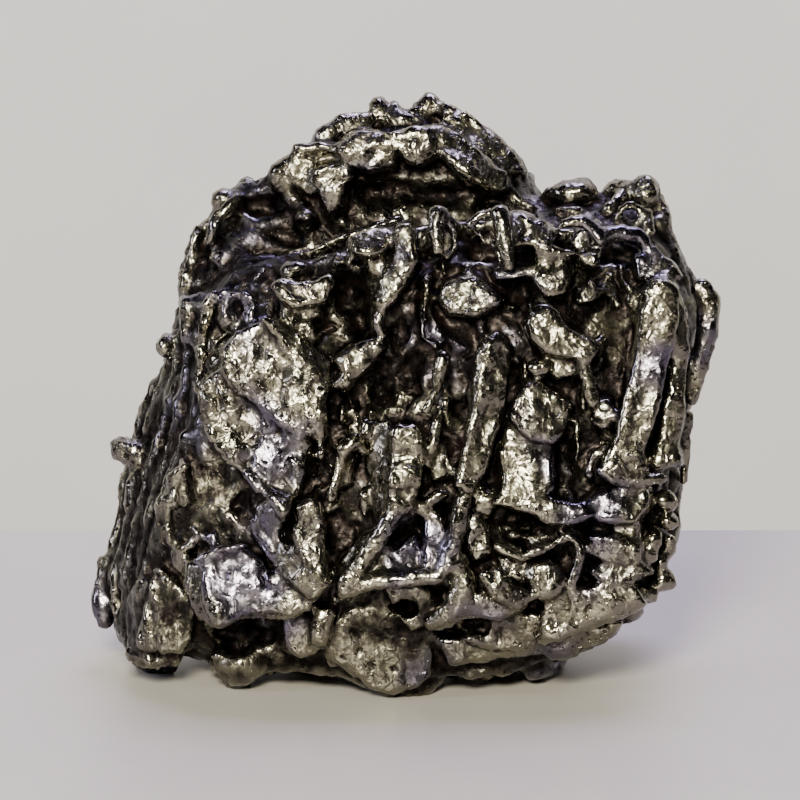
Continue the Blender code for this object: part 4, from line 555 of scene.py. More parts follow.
def left_finger(bm):
    """A flat-topped rib in steps, whose tail runs down to the lip."""
    plate(
        bm,
        ((-1.0, 26.6), (-0.2, 27.3), (1.4, 27.3), (2.2, 26.4), (2.3, 24.9), (-0.9, 24.8)),
        4.8, tilt=(0.05, 0.1), flare=0.04,
    )
    plate(bm, ((-0.9, 24.9), (2.3, 24.9), (2.1, 23.1), (-1.0, 23.0)), 4.5, tilt=(0.1, 0.1), flare=0.04)
    plate(bm, ((-1.0, 23.1), (2.0, 23.2), (1.9, 21.4), (-1.1, 21.2)), 4.8, tilt=(0.1, 0.05), flare=0.04)
    plate(
        bm,
        ((-1.1, 21.3), (1.9, 21.5), (1.4, 19.2), (0.2, 18.2), (-0.9, 16.6), (-1.9, 16.8), (-1.2, 19.0)),
        4.5, tilt=(0.1, 0.0), flare=0.04,
    )
    ridge(bm, ((-1.3, 17.6, 0.9), (-2.6, 15.4, 1.0), (-4.2, 13.4, 1.0), (-5.4, 11.6, 0.95)), 4.1)
    plate(bm, ((-3.2, 16.9), (-2.2, 16.2), (-5.0, 12.0), (-6.6, 12.6), (-5.6, 14.4)), 3.7, tilt=(-0.3, 0.0))
    plate(
        bm, ((-3.2, 27.6), (-1.2, 27.8), (-1.0, 18.2), (-2.4, 17.2), (-2.8, 21.6)),
        3.0, tilt=(-0.7, 0.0), flare=0.0,
    )
    ridge(bm, ((4.2, 34.0, 0.7), (3.9, 32.6, 0.75), (3.6, 30.8, 0.65), (2.6, 28.8, 0.45)), 4.0)
    ridge(bm, ((4.0, 28.9, 0.55), (3.6, 27.0, 0.6), (3.2, 25.0, 0.55), (2.9, 23.4, 0.5)), 3.2)
    plate(bm, ((2.7, 25.4), (4.8, 25.7), (4.8, 21.9), (3.0, 21.6)), 2.2, tilt=(0.15, 0.0))
    ridge(bm, ((4.7, 24.0, 0.4), (5.2, 22.2, 0.4)), 2.4)


def long_finger(bm):
    """The longest rib: a flat blade with a rounded top."""
    plate(
        bm,
        ((7.6, 34.6), (8.3, 36.0), (9.6, 36.5), (10.6, 35.8), (10.8, 34.0), (10.4, 31.0), (9.8, 27.7),
         (9.0, 24.7), (8.2, 22.2), (7.0, 20.5), (5.5, 21.4), (6.1, 24.2), (6.6, 27.2), (7.0, 30.2)),
        5.0, tilt=(0.22, 0.0), flare=0.03,
    )
    ridge(
        bm, ((8.9, 35.2, 0.95), (8.3, 32.4, 0.8), (7.6, 29.2, 0.7), (7.0, 26.2, 0.6), (6.4, 23.4, 0.5)),
        4.9,
    )
    plate(bm, ((7.4, 20.9), (9.2, 21.2), (9.8, 19.6), (9.0, 18.4), (7.2, 18.6)), 3.0, tilt=(0.1, 0.0))
    ridge(bm, ((6.2, 19.8, 0.8), (5.6, 16.8, 0.9), (4.8, 13.9, 0.95), (3.7, 12.3, 0.85)), 3.8)
    ridge(bm, ((3.6, 12.2, 0.8), (0.6, 12.0, 0.8), (-2.6, 11.7, 0.85), (-5.4, 10.9, 0.9)), 4.0)
    plate(bm, ((-4.0, 12.6), (-3.0, 15.4), (-0.8, 15.4), (-0.4, 12.2)), 3.5, tilt=(0.0, 0.2))
    plate(bm, ((0.0, 15.2), (1.6, 16.6), (2.2, 12.4), (-0.6, 12.4)), 3.2, tilt=(0.2, 0.0))
    plate(bm, ((2.4, 18.6), (4.4, 18.6), (4.0, 12.6), (2.4, 12.4)), 3.8, tilt=(0.0, 0.05))
    ridge(bm, ((0.4, 18.0, 0.6), (2.4, 19.2, 0.6), (4.4, 20.6, 0.5)), 3.0)


def finger_foot(bm):
    """The hooked end below the lip, beside a smooth shaded leaf."""
    ridge(bm, ((5.8, 13.7, 1.0), (6.3, 11.7, 1.2), (5.6, 9.6, 1.25), (4.4, 8.1, 1.15), (3.0, 7.5, 0.9)), 3.2)
    plate(
        bm, ((-1.6, 11.2), (2.6, 11.4), (4.2, 9.2), (3.0, 7.4), (1.2, 6.6), (-0.4, 8.4)),
        1.8, tilt=(0.1, -0.25),
    )


# ---------------------------------------------------------------- right of the fingers


def leaf_plates(bm):
    plate(
        bm,
        ((4.2, 41.2), (7.0, 42.2), (9.2, 40.9), (10.2, 39.7), (8.0, 38.2), (5.0, 38.2), (3.8, 39.7)),
        3.4, tilt=(-0.1, 0.25),
    )
    plate(
        bm,
        ((12.7, 37.6), (13.4, 38.9), (14.8, 39.2), (15.8, 38.2), (16.6, 36.9), (19.2, 35.9), (20.0, 34.7),
         (18.8, 33.5), (16.6, 33.9), (14.6, 34.4), (13.2, 35.8)),
        4.8, tilt=(0.1, 0.12), flare=0.05,
    )
    plate(bm, ((14.2, 34.4), (18.4, 33.9), (18.2, 32.4), (15.4, 31.6)), 3.0, tilt=(0.1, 0.2))
    knob(bm, (13.8, 32.9, 1.8), (1.2, 0.9, 1.0))
    plate(
        bm,
        ((12.6, 31.5), (13.8, 31.6), (16.8, 29.7), (17.0, 28.6), (16.2, 26.0), (15.2, 25.2), (13.6, 25.6),
         (12.4, 26.4), (11.0, 28.0), (11.6, 29.8)),
        4.6, tilt=(0.12, 0.1), flare=0.05,
    )
    plate(
        bm,
        ((11.0, 28.0), (12.6, 26.4), (15.2, 24.8), (15.2, 23.2), (12.0, 24.0), (10.2, 25.4)),
        3.7, tilt=(0.05, 0.2),
    )
    plate(
        bm,
        ((9.8, 24.9), (11.6, 24.6), (14.6, 23.2), (15.6, 22.4), (15.2, 20.8), (14.0, 19.6), (9.6, 19.8),
         (10.2, 22.2)),
        4.2, tilt=(0.08, 0.02), flare=0.05,
    )
    ridge(bm, ((18.3, 33.0, 0.75), (18.9, 31.2, 0.95), (19.3, 29.7, 0.75)), 3.8)
    plate(bm, ((19.3, 29.9), (21.0, 30.1), (21.8, 28.2), (20.8, 26.9), (19.2, 27.1)), 3.0, tilt=(-0.1, 0.1))
    ridge(bm, ((17.6, 27.6, 0.45), (17.9, 25.0, 0.45), (17.2, 22.6, 0.45)), 1.4)
    ridge(bm, ((20.4, 25.2, 0.5), (19.2, 24.0, 0.55), (18.8, 22.4, 0.5)), 2.4)


def right_bar(bm):
    """The tall clean blade near the right edge, split by a thin line."""
    plate(
        bm,
        ((24.4, 40.4), (25.2, 41.6), (26.8, 41.8), (27.8, 40.8), (27.8, 38.2), (27.2, 35.2), (26.0, 31.2),
         (25.0, 27.7), (24.4, 25.2), (24.6, 22.8), (22.4, 22.2), (20.2, 22.9), (20.6, 24.6), (21.8, 26.0),
         (21.9, 28.2), (22.8, 31.7), (23.6, 35.7)),
        5.3, tilt=(0.08, 0.0), depth=6.5, flare=0.03,
    )
    ridge(bm, ((26.9, 35.6, 0.45), (26.2, 32.2, 0.45), (25.3, 28.6, 0.45), (24.6, 25.6, 0.4)), 5.1)
    plate(
        bm,
        ((27.8, 40.2), (28.9, 38.6), (28.8, 33.0), (28.4, 28.0), (27.8, 24.2), (25.4, 24.0), (26.4, 29.0),
         (27.4, 34.0)),
        3.2, tilt=(0.35, 0.0), flare=0.02,
    )
    plate(bm, ((25.0, 24.4), (28.0, 24.8), (28.2, 23.4), (25.4, 22.8)), 3.4, tilt=(0.1, 0.2))
    ridge(
        bm,
        ((30.2, 41.0, 9.6, 1.1), (31.0, 39.4, 9.8, 1.25), (30.9, 36.7, 10.0, 1.3), (30.0, 33.7, 10.2, 1.2),
         (29.4, 30.2, 10.4, 1.1)),
    )
    ridge(
        bm,
        ((28.9, 28.2, 9.0, 0.7), (28.6, 25.7, 9.0, 0.7), (28.8, 23.7, 9.4, 0.6),
         (28.4, 21.7, 9.4, 0.6)),
    )


# ---------------------------------------------------------------- the lower right of the face


def wing(bm):
    """The thin overhanging plate over a small arch."""
    plate(
        bm,
        ((8.8, 19.6), (10.4, 20.4), (14.0, 20.2), (16.0, 19.6), (18.5, 19.5), (19.2, 18.2), (17.0, 17.2),
         (14.5, 17.4), (13.0, 18.5), (11.0, 19.0)),
        4.6, tilt=(0.05, 0.2), flare=0.04,
    )
    ridge(bm, ((20.0, 22.7, 0.5), (22.0, 21.8, 0.6), (24.0, 21.7, 0.65), (26.2, 22.0, 0.55)), 4.2)
    plate(bm, ((10.2, 18.4), (12.6, 18.6), (13.2, 16.7), (10.3, 16.7)), 1.6)
    ridge(bm, ((9.7, 15.2, 0.6), (12.0, 14.2, 0.65), (14.5, 15.1, 0.65), (17.0, 16.2, 0.55)), 3.4)
    for u, v, r in ((11.5, 16.3, 0.8), (13.1, 15.9, 0.7), (14.2, 16.4, 0.8), (15.8, 16.9, 0.6)):
        knob(bm, (u, v, face_depth(u, v) - 2.4), (r, r * 0.8, r))


def lower_right_plates(bm):
    plate(
        bm,
        ((18.3, 19.2), (20.3, 20.9), (23.0, 21.3), (24.8, 20.7), (24.9, 19.2), (23.5, 17.5), (20.0, 17.7)),
        4.0, tilt=(0.05, 0.25),
    )
    plate(bm, ((21.3, 17.5), (24.2, 17.3), (24.0, 15.8), (21.4, 15.9)), 3.4, tilt=(0.0, 0.2))
    plate(
        bm, ((18.8, 16.4), (21.5, 16.0), (24.2, 15.6), (24.0, 13.8), (21.0, 13.6), (19.0, 14.4)),
        4.0, tilt=(0.0, -0.2),
    )
    plate(
        bm, ((18.8, 12.7), (21.0, 13.8), (24.0, 13.6), (25.2, 12.6), (23.0, 11.5), (20.3, 11.5)),
        3.8, tilt=(0.0, 0.15),
    )
    plate(
        bm,
        ((14.3, 9.2), (16.5, 10.8), (20.0, 11.3), (24.0, 10.9), (24.7, 9.2), (22.0, 8.8), (20.0, 8.2),
         (18.0, 6.9), (16.0, 6.0), (14.3, 6.0)),
        4.2, tilt=(0.05, -0.12),
    )
    plate(
        bm, ((14.0, 5.6), (18.0, 6.8), (22.5, 7.8), (21.0, 5.8), (18.0, 4.4), (15.0, 3.8)),
        2.2, tilt=(0.0, -0.5),
    )
    ridge(bm, ((14.0, 5.9, 0.45), (17.0, 6.6, 0.45), (20.0, 7.9, 0.5), (24.0, 9.1, 0.5)), 3.8)
    ridge(bm, ((17.8, 15.7, 0.5), (18.0, 13.7, 0.55), (17.0, 11.2, 0.5)), 3.4)
    knob(bm, (17.7, 14.7, 3.8), (1.3, 1.2, 1.4))
    for u, v, ru, rv, w in (
        (26.5, 19.6, 1.2, 1.0, 7.4), (26.8, 17.6, 0.9, 0.8, 7.6), (25.4, 16.0, 0.9, 1.3, 6.4),
        (25.0, 14.3, 0.9, 0.9, 6.6), (26.4, 11.7, 1.2, 1.1, 9.4), (26.2, 13.6, 0.9, 0.9, 8.8),
        (25.0, 10.2, 0.9, 0.9, 8.8), (27.0, 15.4, 0.8, 1.4, 9.2),
    ):
        knob(bm, (u, v, w), (ru, rv, 1.2))


def lower_middle_plates(bm):
    plate(bm, ((6.0, 8.2), (8.0, 10.9), (10.0, 9.9), (12.2, 8.9), (10.0, 8.0)), 3.8, tilt=(0.0, -0.1))
    ridge(bm, ((8.4, 12.4, 0.55), (9.9, 10.4, 0.55), (12.0, 9.3, 0.55)), 4.2)
    ridge(bm, ((9.6, 12.8, 0.45), (11.0, 11.0, 0.45), (13.0, 10.1, 0.45)), 3.8)
    plate(
        bm, ((12.8, 13.2), (15.0, 14.0), (16.4, 12.4), (16.0, 10.7), (14.5, 9.7), (13.3, 10.7)),
        4.0, tilt=(0.1, 0.0),
    )
    plate(bm, ((9.8, 14.1), (12.8, 13.9), (12.8, 11.8), (10.6, 12.0)), 3.0, tilt=(0.0, 0.2))
    knob(bm, (10.6, 12.3, 3.2), (0.9, 0.8, 0.9))
    for u, v in ((10.7, 7.0), (12.0, 6.8), (13.3, 6.9), (9.3, 6.6)):
        ridge(bm, ((u, v + 1.2, 0.5), (u - 0.2, v - 1.2, 0.55)), 2.0)
    ridge(bm, ((6.6, 6.2, 0.6), (9.4, 5.4, 0.6), (12.6, 5.2, 0.6)), 2.2)
    plate(
        bm,
        ((4.2, 6.0), (9.0, 7.6), (14.0, 7.8), (14.0, 4.6), (9.0, 3.8), (5.0, 3.2)),
        1.5, tilt=(0.0, -0.3),
    )
    plate(bm, ((6.8, 18.2), (8.8, 17.8), (9.0, 14.6), (7.2, 13.6), (6.6, 15.6)), 2.2, tilt=(0.1, 0.0))


# ---------------------------------------------------------------- the lower left and the keel


def front_block(bm):
    """The block with a smooth left side and a bright top rim, and the forked plates over it."""
    plate(
        bm,
        ((-20.2, 13.5), (-18.0, 14.7), (-15.8, 15.0), (-13.8, 13.7), (-13.0, 12.2), (-11.5, 13.9),
         (-9.0, 10.7), (-9.3, 9.0), (-11.0, 8.3), (-13.2, 8.7), (-15.0, 8.3), (-17.5, 7.5), (-18.5, 7.3),
         (-19.3, 9.7)),
        4.8, tilt=(0.0, 0.1), flare=0.04,
    )
    plate(
        bm,
        ((-21.5, 13.7), (-20.0, 13.6), (-17.6, 7.5), (-18.8, 7.3), (-20.6, 9.2), (-21.6, 11.2)),
        3.9, tilt=(-0.8, 0.0),
    )
    ridge(bm, ((-20.5, 13.8, 0.5), (-17.8, 14.9, 0.5), (-15.8, 15.3, 0.5)), 4.9)
    plate(
        bm,
        ((-13.8, 19.6), (-13.0, 20.5), (-11.8, 19.2), (-10.4, 16.9), (-9.5, 15.2), (-8.2, 12.5),
         (-7.8, 10.7), (-8.8, 9.9), (-10.4, 11.2), (-12.0, 12.7), (-13.8, 14.9), (-15.2, 17.2),
         (-15.0, 18.9)),
        4.6, tilt=(-0.3, 0.0), flare=0.03,
    )
    ridge(bm, ((-12.6, 20.2, 0.55), (-11.0, 17.4, 0.6), (-9.6, 14.8, 0.65), (-8.2, 11.8, 0.7)), 5.0)
    plate(
        bm,
        ((-10.2, 19.0), (-9.2, 20.0), (-8.0, 19.5), (-7.4, 17.2), (-7.2, 14.2), (-7.0, 11.7), (-7.9, 10.9),
         (-8.8, 13.7), (-9.8, 16.2)),
        5.2, tilt=(0.1, 0.05), flare=0.03,
    )
    ridge(bm, ((-18.8, 7.5, 0.45), (-15.0, 8.3, 0.5), (-11.0, 8.4, 0.5), (-9.4, 9.2, 0.55)), 4.5)
    knob(bm, (-19.5, 21.8, 4.6), (0.9, 1.2, 1.0))
    ridge(bm, ((-18.4, 18.6, 0.5), (-16.6, 17.4, 0.5), (-14.8, 17.6, 0.5)), 1.0)
    ridge(bm, ((-19.6, 24.0, 0.5), (-18.2, 21.8, 0.45), (-17.4, 19.6, 0.5)), 1.2)


def keel_plates(bm):
    """The pitted plate on the lump that touches the table in front, and the cracked plates by it."""
    plate(
        bm,
        ((-7.2, 5.2), (-6.4, 7.6), (-5.0, 8.8), (-2.0, 8.8), (0.5, 8.0), (2.4, 6.6), (3.2, 4.2), (3.0, 2.2),
         (1.5, 0.9), (-0.5, 0.4), (-3.0, 0.9), (-5.2, 2.4), (-6.8, 4.0)),
        1.7, tilt=(0.03, -0.26), flare=0.05,
    )
    plate(bm, ((-8.6, 9.4), (-6.6, 8.9), (-7.4, 5.2), (-9.0, 5.0)), 2.5, tilt=(0.0, -0.15))
    plate(bm, ((-11.8, 8.0), (-8.6, 8.4), (-8.4, 4.5), (-10.0, 3.8), (-11.6, 5.0)), 2.4, tilt=(0.0, -0.2))
    knob(bm, (-13.6, 5.4, 11.0), (1.2, 1.1, 1.4))
    knob(bm, (-12.4, 4.3, 11.4), (1.0, 0.9, 1.2))


def wedge_foot(bm):
    plate(
        bm,
        ((-24.5, 12.9), (-24.0, 12.2), (-22.8, 11.2), (-22.0, 9.7), (-20.8, 8.5), (-21.0, 5.7),
         (-22.2, 4.4), (-25.0, 4.4), (-26.3, 5.2), (-26.0, 6.9), (-25.3, 9.7), (-25.0, 11.7)),
        1.4, tilt=(-0.15, -0.1), base=10.8,
    )
    ridge(bm, ((-24.6, 12.6, 9.4, 0.5), (-22.4, 10.8, 9.2, 0.5), (-20.9, 8.3, 9.3, 0.5)))
    ridge(bm, ((-27.2, 4.2, 13.0, 0.8), (-25.0, 3.6, 11.8, 0.8), (-22.6, 3.6, 11.6, 0.8)))


# ---------------------------------------------------------------- the striated left side


def level(v):
    """The body's four corners and its back at a height v, between the rows of BODY_LEVELS."""
    for low, high in zip(BODY_LEVELS, BODY_LEVELS[1:]):
        if v <= high[0]:
            break
    t = max(0.0, min(1.0, (v - low[0]) / (high[0] - low[0])))
    return [a + (b - a) * t for a, b in zip(low[1:], high[1:])]


def left_place(v, share, proud):
    """A place on the left side: share runs from the face's corner at 0 to the widest line at 1."""
    corner, _, side, _, _ = level(v)
    depth = face_depth(corner, v) + 1.6
    u = corner + (side - corner) * share
    w = depth + (21.0 - depth) * share
    slope = Vector((21.0 - depth, corner - side)).normalized()
    return u - slope.x * proud, w - slope.y * proud


def slat(bm, share, low, high, radius, proud=0.1, steps=4):
    """One of the long thin blades seen edge-on as a striation of the left side."""
    path = []
    for i in range(steps + 1):
        v = low + (high - low) * i / steps
        u, w = left_place(v, share, proud)
        path.append((u, v, w, radius * (0.75 + 0.25 * math.sin(math.pi * i / steps))))
    ridge(bm, path)


def left_side(bm):
    for share, low, high, radius in (
        (0.08, 17.0, 26.5, 0.7), (0.10, 27.5, 34.5, 0.6), (0.10, 35.5, 40.0, 0.85), (0.30, 12.0, 24.0, 0.6),
        (0.34, 24.5, 38.5, 0.7), (0.55, 9.0, 18.0, 0.75), (0.55, 19.5, 31.0, 0.6), (0.62, 31.0, 41.0, 0.7),
        (0.78, 7.0, 16.5, 0.6), (0.80, 17.0, 25.0, 0.7), (0.84, 26.5, 37.0, 0.6), (1.0, 13.0, 22.0, 0.7),
        (1.0, 26.5, 33.0, 0.65), (0.2, 8.5, 13.5, 0.7),
    ):
        slat(bm, share, low, high, radius)
    knob(bm, (-28.2, 24.7, 19.5), (1.5, 1.4, 1.7))
    knob(bm, (-26.8, 24.3, 19.5), (1.8, 1.7, 2.2))
    knob(bm, (-23.6, 35.2, 17.5), (1.1, 1.2, 1.6))
    ridge(bm, ((-30.1, 13.2, 21.5, 0.9), (-30.5, 10.0, 21.5, 1.0), (-30.1, 7.4, 21.5, 0.9)))
    plate(bm, ((-22.0, 40.0), (-20.2, 40.0), (-20.2, 35.7), (-22.0, 35.7)), 2.0, base=12.0)
    for u, low, high in ((-21.8, 19.6, 23.4), (-22.9, 19.4, 22.2), (-23.4, 15.6, 19.8)):
        ridge(bm, ((u, high, 8.0, 0.5), (u + 0.3, low, 8.0, 0.55)))
    knob(bm, (-22.2, 14.2, 8.2), (0.8, 1.8, 1.0))


# ---------------------------------------------------------------- hollows


def deep_pits(bm):
    """The holes, clefts and undercuts: each is cut out of the fused stone."""
    for centre, radii in (
        ((-5.0, 40.4, 4.0), (2.5, 3.2, 5.0)),
        ((-3.9, 37.6, 4.0), (1.8, 2.2, 4.0)),
        ((-7.0, 37.0, 3.2), (2.2, 1.9, 3.2)),
        ((-1.0, 50.5, 12.0), (5.2, 2.4, 4.8)),
        ((4.4, 50.6, 12.8), (4.8, 2.0, 4.2)),
        ((9.0, 50.0, 14.0), (2.6, 1.1, 3.0)),
        ((0.6, 9.4, 5.6), (1.9, 1.1, 2.6)),
        ((5.2, 6.6, 5.8), (2.2, 0.9, 2.2)),
        ((-16.6, 5.9, 9.0), (4.2, 2.1, 3.6)),
        ((-16.4, 18.9, 4.6), (2.5, 3.4, 3.4)),
        ((-10.9, 17.9, 2.4), (1.0, 2.4, 3.0)),
        ((11.6, 18.0, 1.8), (2.8, 1.0, 3.2)),
        ((25.2, 19.7, 4.6), (0.7, 2.2, 2.2)),
        ((7.2, 10.9, 5.0), (0.8, 2.0, 2.8)),
        ((13.2, 9.2, 4.4), (1.4, 0.9, 2.8)),
        ((-1.6, 31.0, 3.0), (1.8, 3.4, 3.0)),
        ((0.7, 32.4, 2.8), (1.9, 3.2, 3.0)),
        ((-0.2, 36.7, 3.2), (1.6, 2.6, 3.0)),
        ((0.3, 29.4, 2.6), (1.6, 1.4, 2.6)),
        ((-7.0, 29.2, 3.0), (1.1, 2.0, 2.6)),
        ((12.0, 40.6, 4.0), (2.2, 1.6, 3.2)),
        ((20.0, 42.0, 5.4), (2.2, 1.2, 3.2)),
        ((17.0, 38.4, 3.0), (1.4, 1.0, 2.6)),
        ((23.3, 48.4, 12.4), (0.75, 0.75, 1.8)),
        ((18.9, 45.5, 5.0), (0.75, 0.75, 1.6)),
        ((-16.2, 39.0, 3.6), (1.1, 1.2, 2.0)),
        ((17.0, 31.2, 2.6), (1.3, 1.1, 3.0)),
        ((14.8, 20.5, 2.2), (0.7, 0.6, 1.4)),
        ((-19.3, 42.6, 11.4), (1.5, 2.2, 3.6)),
        ((-14.0, 49.6, 14.8), (2.4, 1.5, 1.8)),
        ((-24.8, 4.1, 10.6), (1.0, 0.5, 1.4)),
        ((19.8, 48.4, 12.6), (1.6, 0.7, 2.0)),
        ((6.9, 43.6, 3.2), (0.9, 2.0, 2.0)),
        ((-13.6, 11.6, 1.4), (0.5, 1.6, 1.2)),
        ((1.4, 15.0, 2.0), (0.5, 1.6, 1.6)),
        ((-6.2, 15.4, 2.6), (0.8, 1.6, 2.8)),
    ):
        knob(bm, centre, radii)


def slots(bm):
    for path in (
        ((-17.5, 44.6, 11.6, 1.0), (-5.0, 48.0, 13.0, 1.3), (5.0, 49.7, 14.2, 1.3), (13.0, 49.3, 15.6, 1.2)),
        ((29.5, 41.5, 7.2, 0.6), (29.3, 36.0, 7.0, 0.7), (28.6, 30.5, 7.4, 0.6)),
        ((21.2, 43.0, 6.0, 1.3), (22.0, 38.0, 5.2, 1.4), (21.2, 33.0, 4.8, 1.3), (19.0, 27.6, 5.0, 1.2),
         (18.2, 23.6, 5.0, 1.2)),
        ((11.6, 38.0, 4.2, 0.9), (11.8, 33.6, 4.2, 0.8), (11.0, 30.8, 4.2, 0.7), (10.3, 27.0, 4.2, 0.7),
         (9.2, 22.6, 4.2, 0.7)),
        ((-2.3, 29.6, 3.6, 1.0), (-2.2, 24.0, 3.8, 1.0), (-2.8, 19.6, 4.0, 1.0), (-5.0, 15.2, 4.0, 0.8)),
        ((2.5, 27.6, 3.8, 0.4), (2.5, 22.0, 4.0, 0.4)),
        ((5.9, 34.5, 3.4, 1.0), (5.6, 29.5, 3.6, 1.0), (5.4, 25.4, 3.8, 0.8), (4.9, 22.0, 4.0, 0.6)),
        ((17.0, 12.3, 4.4, 0.5), (21.0, 11.2, 5.2, 0.45), (25.0, 11.2, 6.6, 0.5)),
        ((16.6, 25.0, 4.0, 0.8), (16.8, 22.0, 4.2, 0.8)),
        ((-6.8, 27.2, 3.4, 0.8), (-8.0, 22.6, 3.6, 0.8), (-8.9, 20.6, 3.6, 0.7)),
        ((7.7, 47.0, 5.6, 0.6), (7.9, 44.0, 5.0, 0.6)),
        ((-14.0, 47.0, 13.8, 0.8), (-9.6, 46.0, 13.4, 0.8)),
        ((-17.0, 38.2, 4.0, 0.5), (-12.8, 38.6, 3.6, 0.5)),
        ((10.0, 17.4, 3.2, 0.6), (13.6, 17.0, 3.0, 0.6), (17.6, 16.9, 3.6, 0.5)),
    ):
        ridge(bm, path, sides=6)


# ---------------------------------------------------------------- the sides and back


def on_worked_side(spot, normal):
    """Whether a place lies on the front or the striated left side, which are laid out one by one."""
    _, w, v = spot / MM
    front = normal.y < -0.25 and w < 19.5
    striated = normal.x < -0.4 and w < 22.0 and v < 42.0
    return front or striated


def spread(count):
    """Directions spaced evenly over a sphere."""
    for i in range(count):
        height = 1.0 - 2.0 * (i + 0.5) / count
        angle = math.pi * (3.0 - math.sqrt(5.0)) * i
        flat = math.sqrt(1.0 - height * height)
        yield Vector((flat * math.cos(angle), flat * math.sin(angle), height))


def along_surface(tree, spot, normal, heading, length, lift):
    """Three places along a blade that follows the surface, or None where it would leave it."""
    heading = (heading - normal * heading.dot(normal)).normalized()
    places = []
    for t in (-0.5, 0.0, 0.5):
        above = spot + heading * length * t + normal * 8.0 * MM
        hit = tree.ray_cast(above, -normal, 14.0 * MM)[0]
        if hit is None:
            return None
        places.append(hit + normal * lift)
    return places


def table_gap(spot):
    """Height of a place over the table, in millimetres."""
    _, w, v = spot / MM
    return (v - floor_height(w)) * math.cos(FACE_LEAN)


def wild_blades(bm, hollows, tree):
    """Blades of the three crystal directions, with knobs and pits between them, over the sides and
    the back."""
    rng = random.Random(WILD_SEED)
    centre = point(1.0, 24.0, 22.0)
    for direction in spread(WILD_PLACES):
        reach = centre + direction * 60.0 * MM
        spot, normal, _, _ = tree.ray_cast(reach, -direction)
        grain = GRAINS[rng.choice((0, 0, 0, 1, 1, 2))]
        length = rng.uniform(4.0, 11.0) * MM
        radius = BLADE_WIDTH * rng.uniform(0.22, 0.42)
        kind = rng.random()
        lift = rng.uniform(-0.45, 0.15) * radius * MM
        if spot is None or on_worked_side(spot, normal) or table_gap(spot) < 2.2:
            continue
        if kind < 0.62:
            places = along_surface(tree, spot, normal, grain, length, lift)
            if places is None or min(table_gap(p) for p in places) < 1.5:
                continue
            sizes = (radius * rng.uniform(0.6, 1.0), radius, radius * rng.uniform(0.6, 1.0))
            ridge(bm, [(p.x / MM, p.z / MM, p.y / MM, r) for p, r in zip(places, sizes)])
        elif kind < 0.82:
            where = spot / MM
            knob(bm, (where.x, where.z, where.y), [radius * rng.uniform(0.9, 1.7) for _ in range(3)])
        else:
            places = along_surface(tree, spot, normal, grain, length * 0.3, 0.1 * radius * MM)
            if places is not None:
                sizes = [radius * rng.uniform(0.55, 1.05) for _ in places]
                ridge(hollows, [(p.x / MM, p.z / MM, p.y / MM, r) for p, r in zip(places, sizes)])


def slab(bm, tree, rng, where, heading, length, width, rise):
    """A broad broken plate lying on the back or a side, with its long side on a crystal direction."""
    centre = point(1.0, 24.0, 22.0)
    outward = (point(*where) - centre).normalized()
    spot, normal, _, _ = tree.ray_cast(centre + outward * 60.0 * MM, -outward)
    along = (heading - normal * heading.dot(normal)).normalized()
    across = normal.cross(along)
    slope = rng.uniform(-0.9, 0.9)
    corners = []
    for share, half in ((-0.5, 0.5), (-0.3, 0.9), (0.1, 1.0), (0.4, 0.75), (0.5, 0.35)):
        for side in (-0.5, 0.5):
            reach = length * (share + rng.uniform(-0.06, 0.06))
            spread_by = width * side * half * rng.uniform(0.65, 1.1)
            base = spot + along * reach * MM + across * spread_by * MM
            corners.append(base + normal * (rise + slope * share + rng.uniform(-0.25, 0.15)) * MM)
            corners.append(base + across * side * 1.6 * MM - normal * 3.0 * MM)
    boulder(bm, [(c.x / MM, c.z / MM, c.y / MM) for c in corners])


def rib(bm, tree, rng, outward, start, heading, length, radius, lift, step=2.6):
    """A rib, or a groove when it goes into the hollows, laid over the stone as seen from outward."""
    places = []
    for i in range(int(length / step) + 1):
        above = point(*start) + (heading * i * step + outward * 50.0) * MM
        above += heading.cross(outward) * rng.uniform(-0.35, 0.35) * MM
        spot, normal, _, _ = tree.ray_cast(above, -outward)
        if spot is None or table_gap(spot) < 1.8 or normal.dot(outward) < 0.35:
            break
        swell = rng.uniform(0.8, 1.2)
        place = (spot + normal * lift * swell * radius * MM) / MM
        places.append((place.x, place.z, place.y, radius * swell))
    if len(places) > 1:
        ridge(bm, places)


def ribbed_rows(bm, hollows, tree, rng, outward, first, row_step, rows, heading, reach):
    """Rows of broken parallel ribs with grooves between them, like those of the front."""
    for row in range(rows):
        at = [first[i] + row_step[i] * row for i in range(3)]
        travelled = rng.uniform(0.0, 4.0)
        while travelled < reach:
            length = rng.uniform(6.0, 17.0)
            start = [
                at[0] + heading.x * travelled,
                at[1] + heading.z * travelled,
                at[2] + heading.y * travelled,
            ]
            rib(bm, tree, rng, outward, start, heading, length, rng.uniform(0.85, 1.35), 0.25)
            beside = [start[i] + row_step[i] * 0.5 for i in range(3)]
            rib(hollows, tree, rng, outward, beside, heading, length, rng.uniform(0.55, 0.95), -0.2)
            travelled += length + rng.uniform(1.4, 3.6)


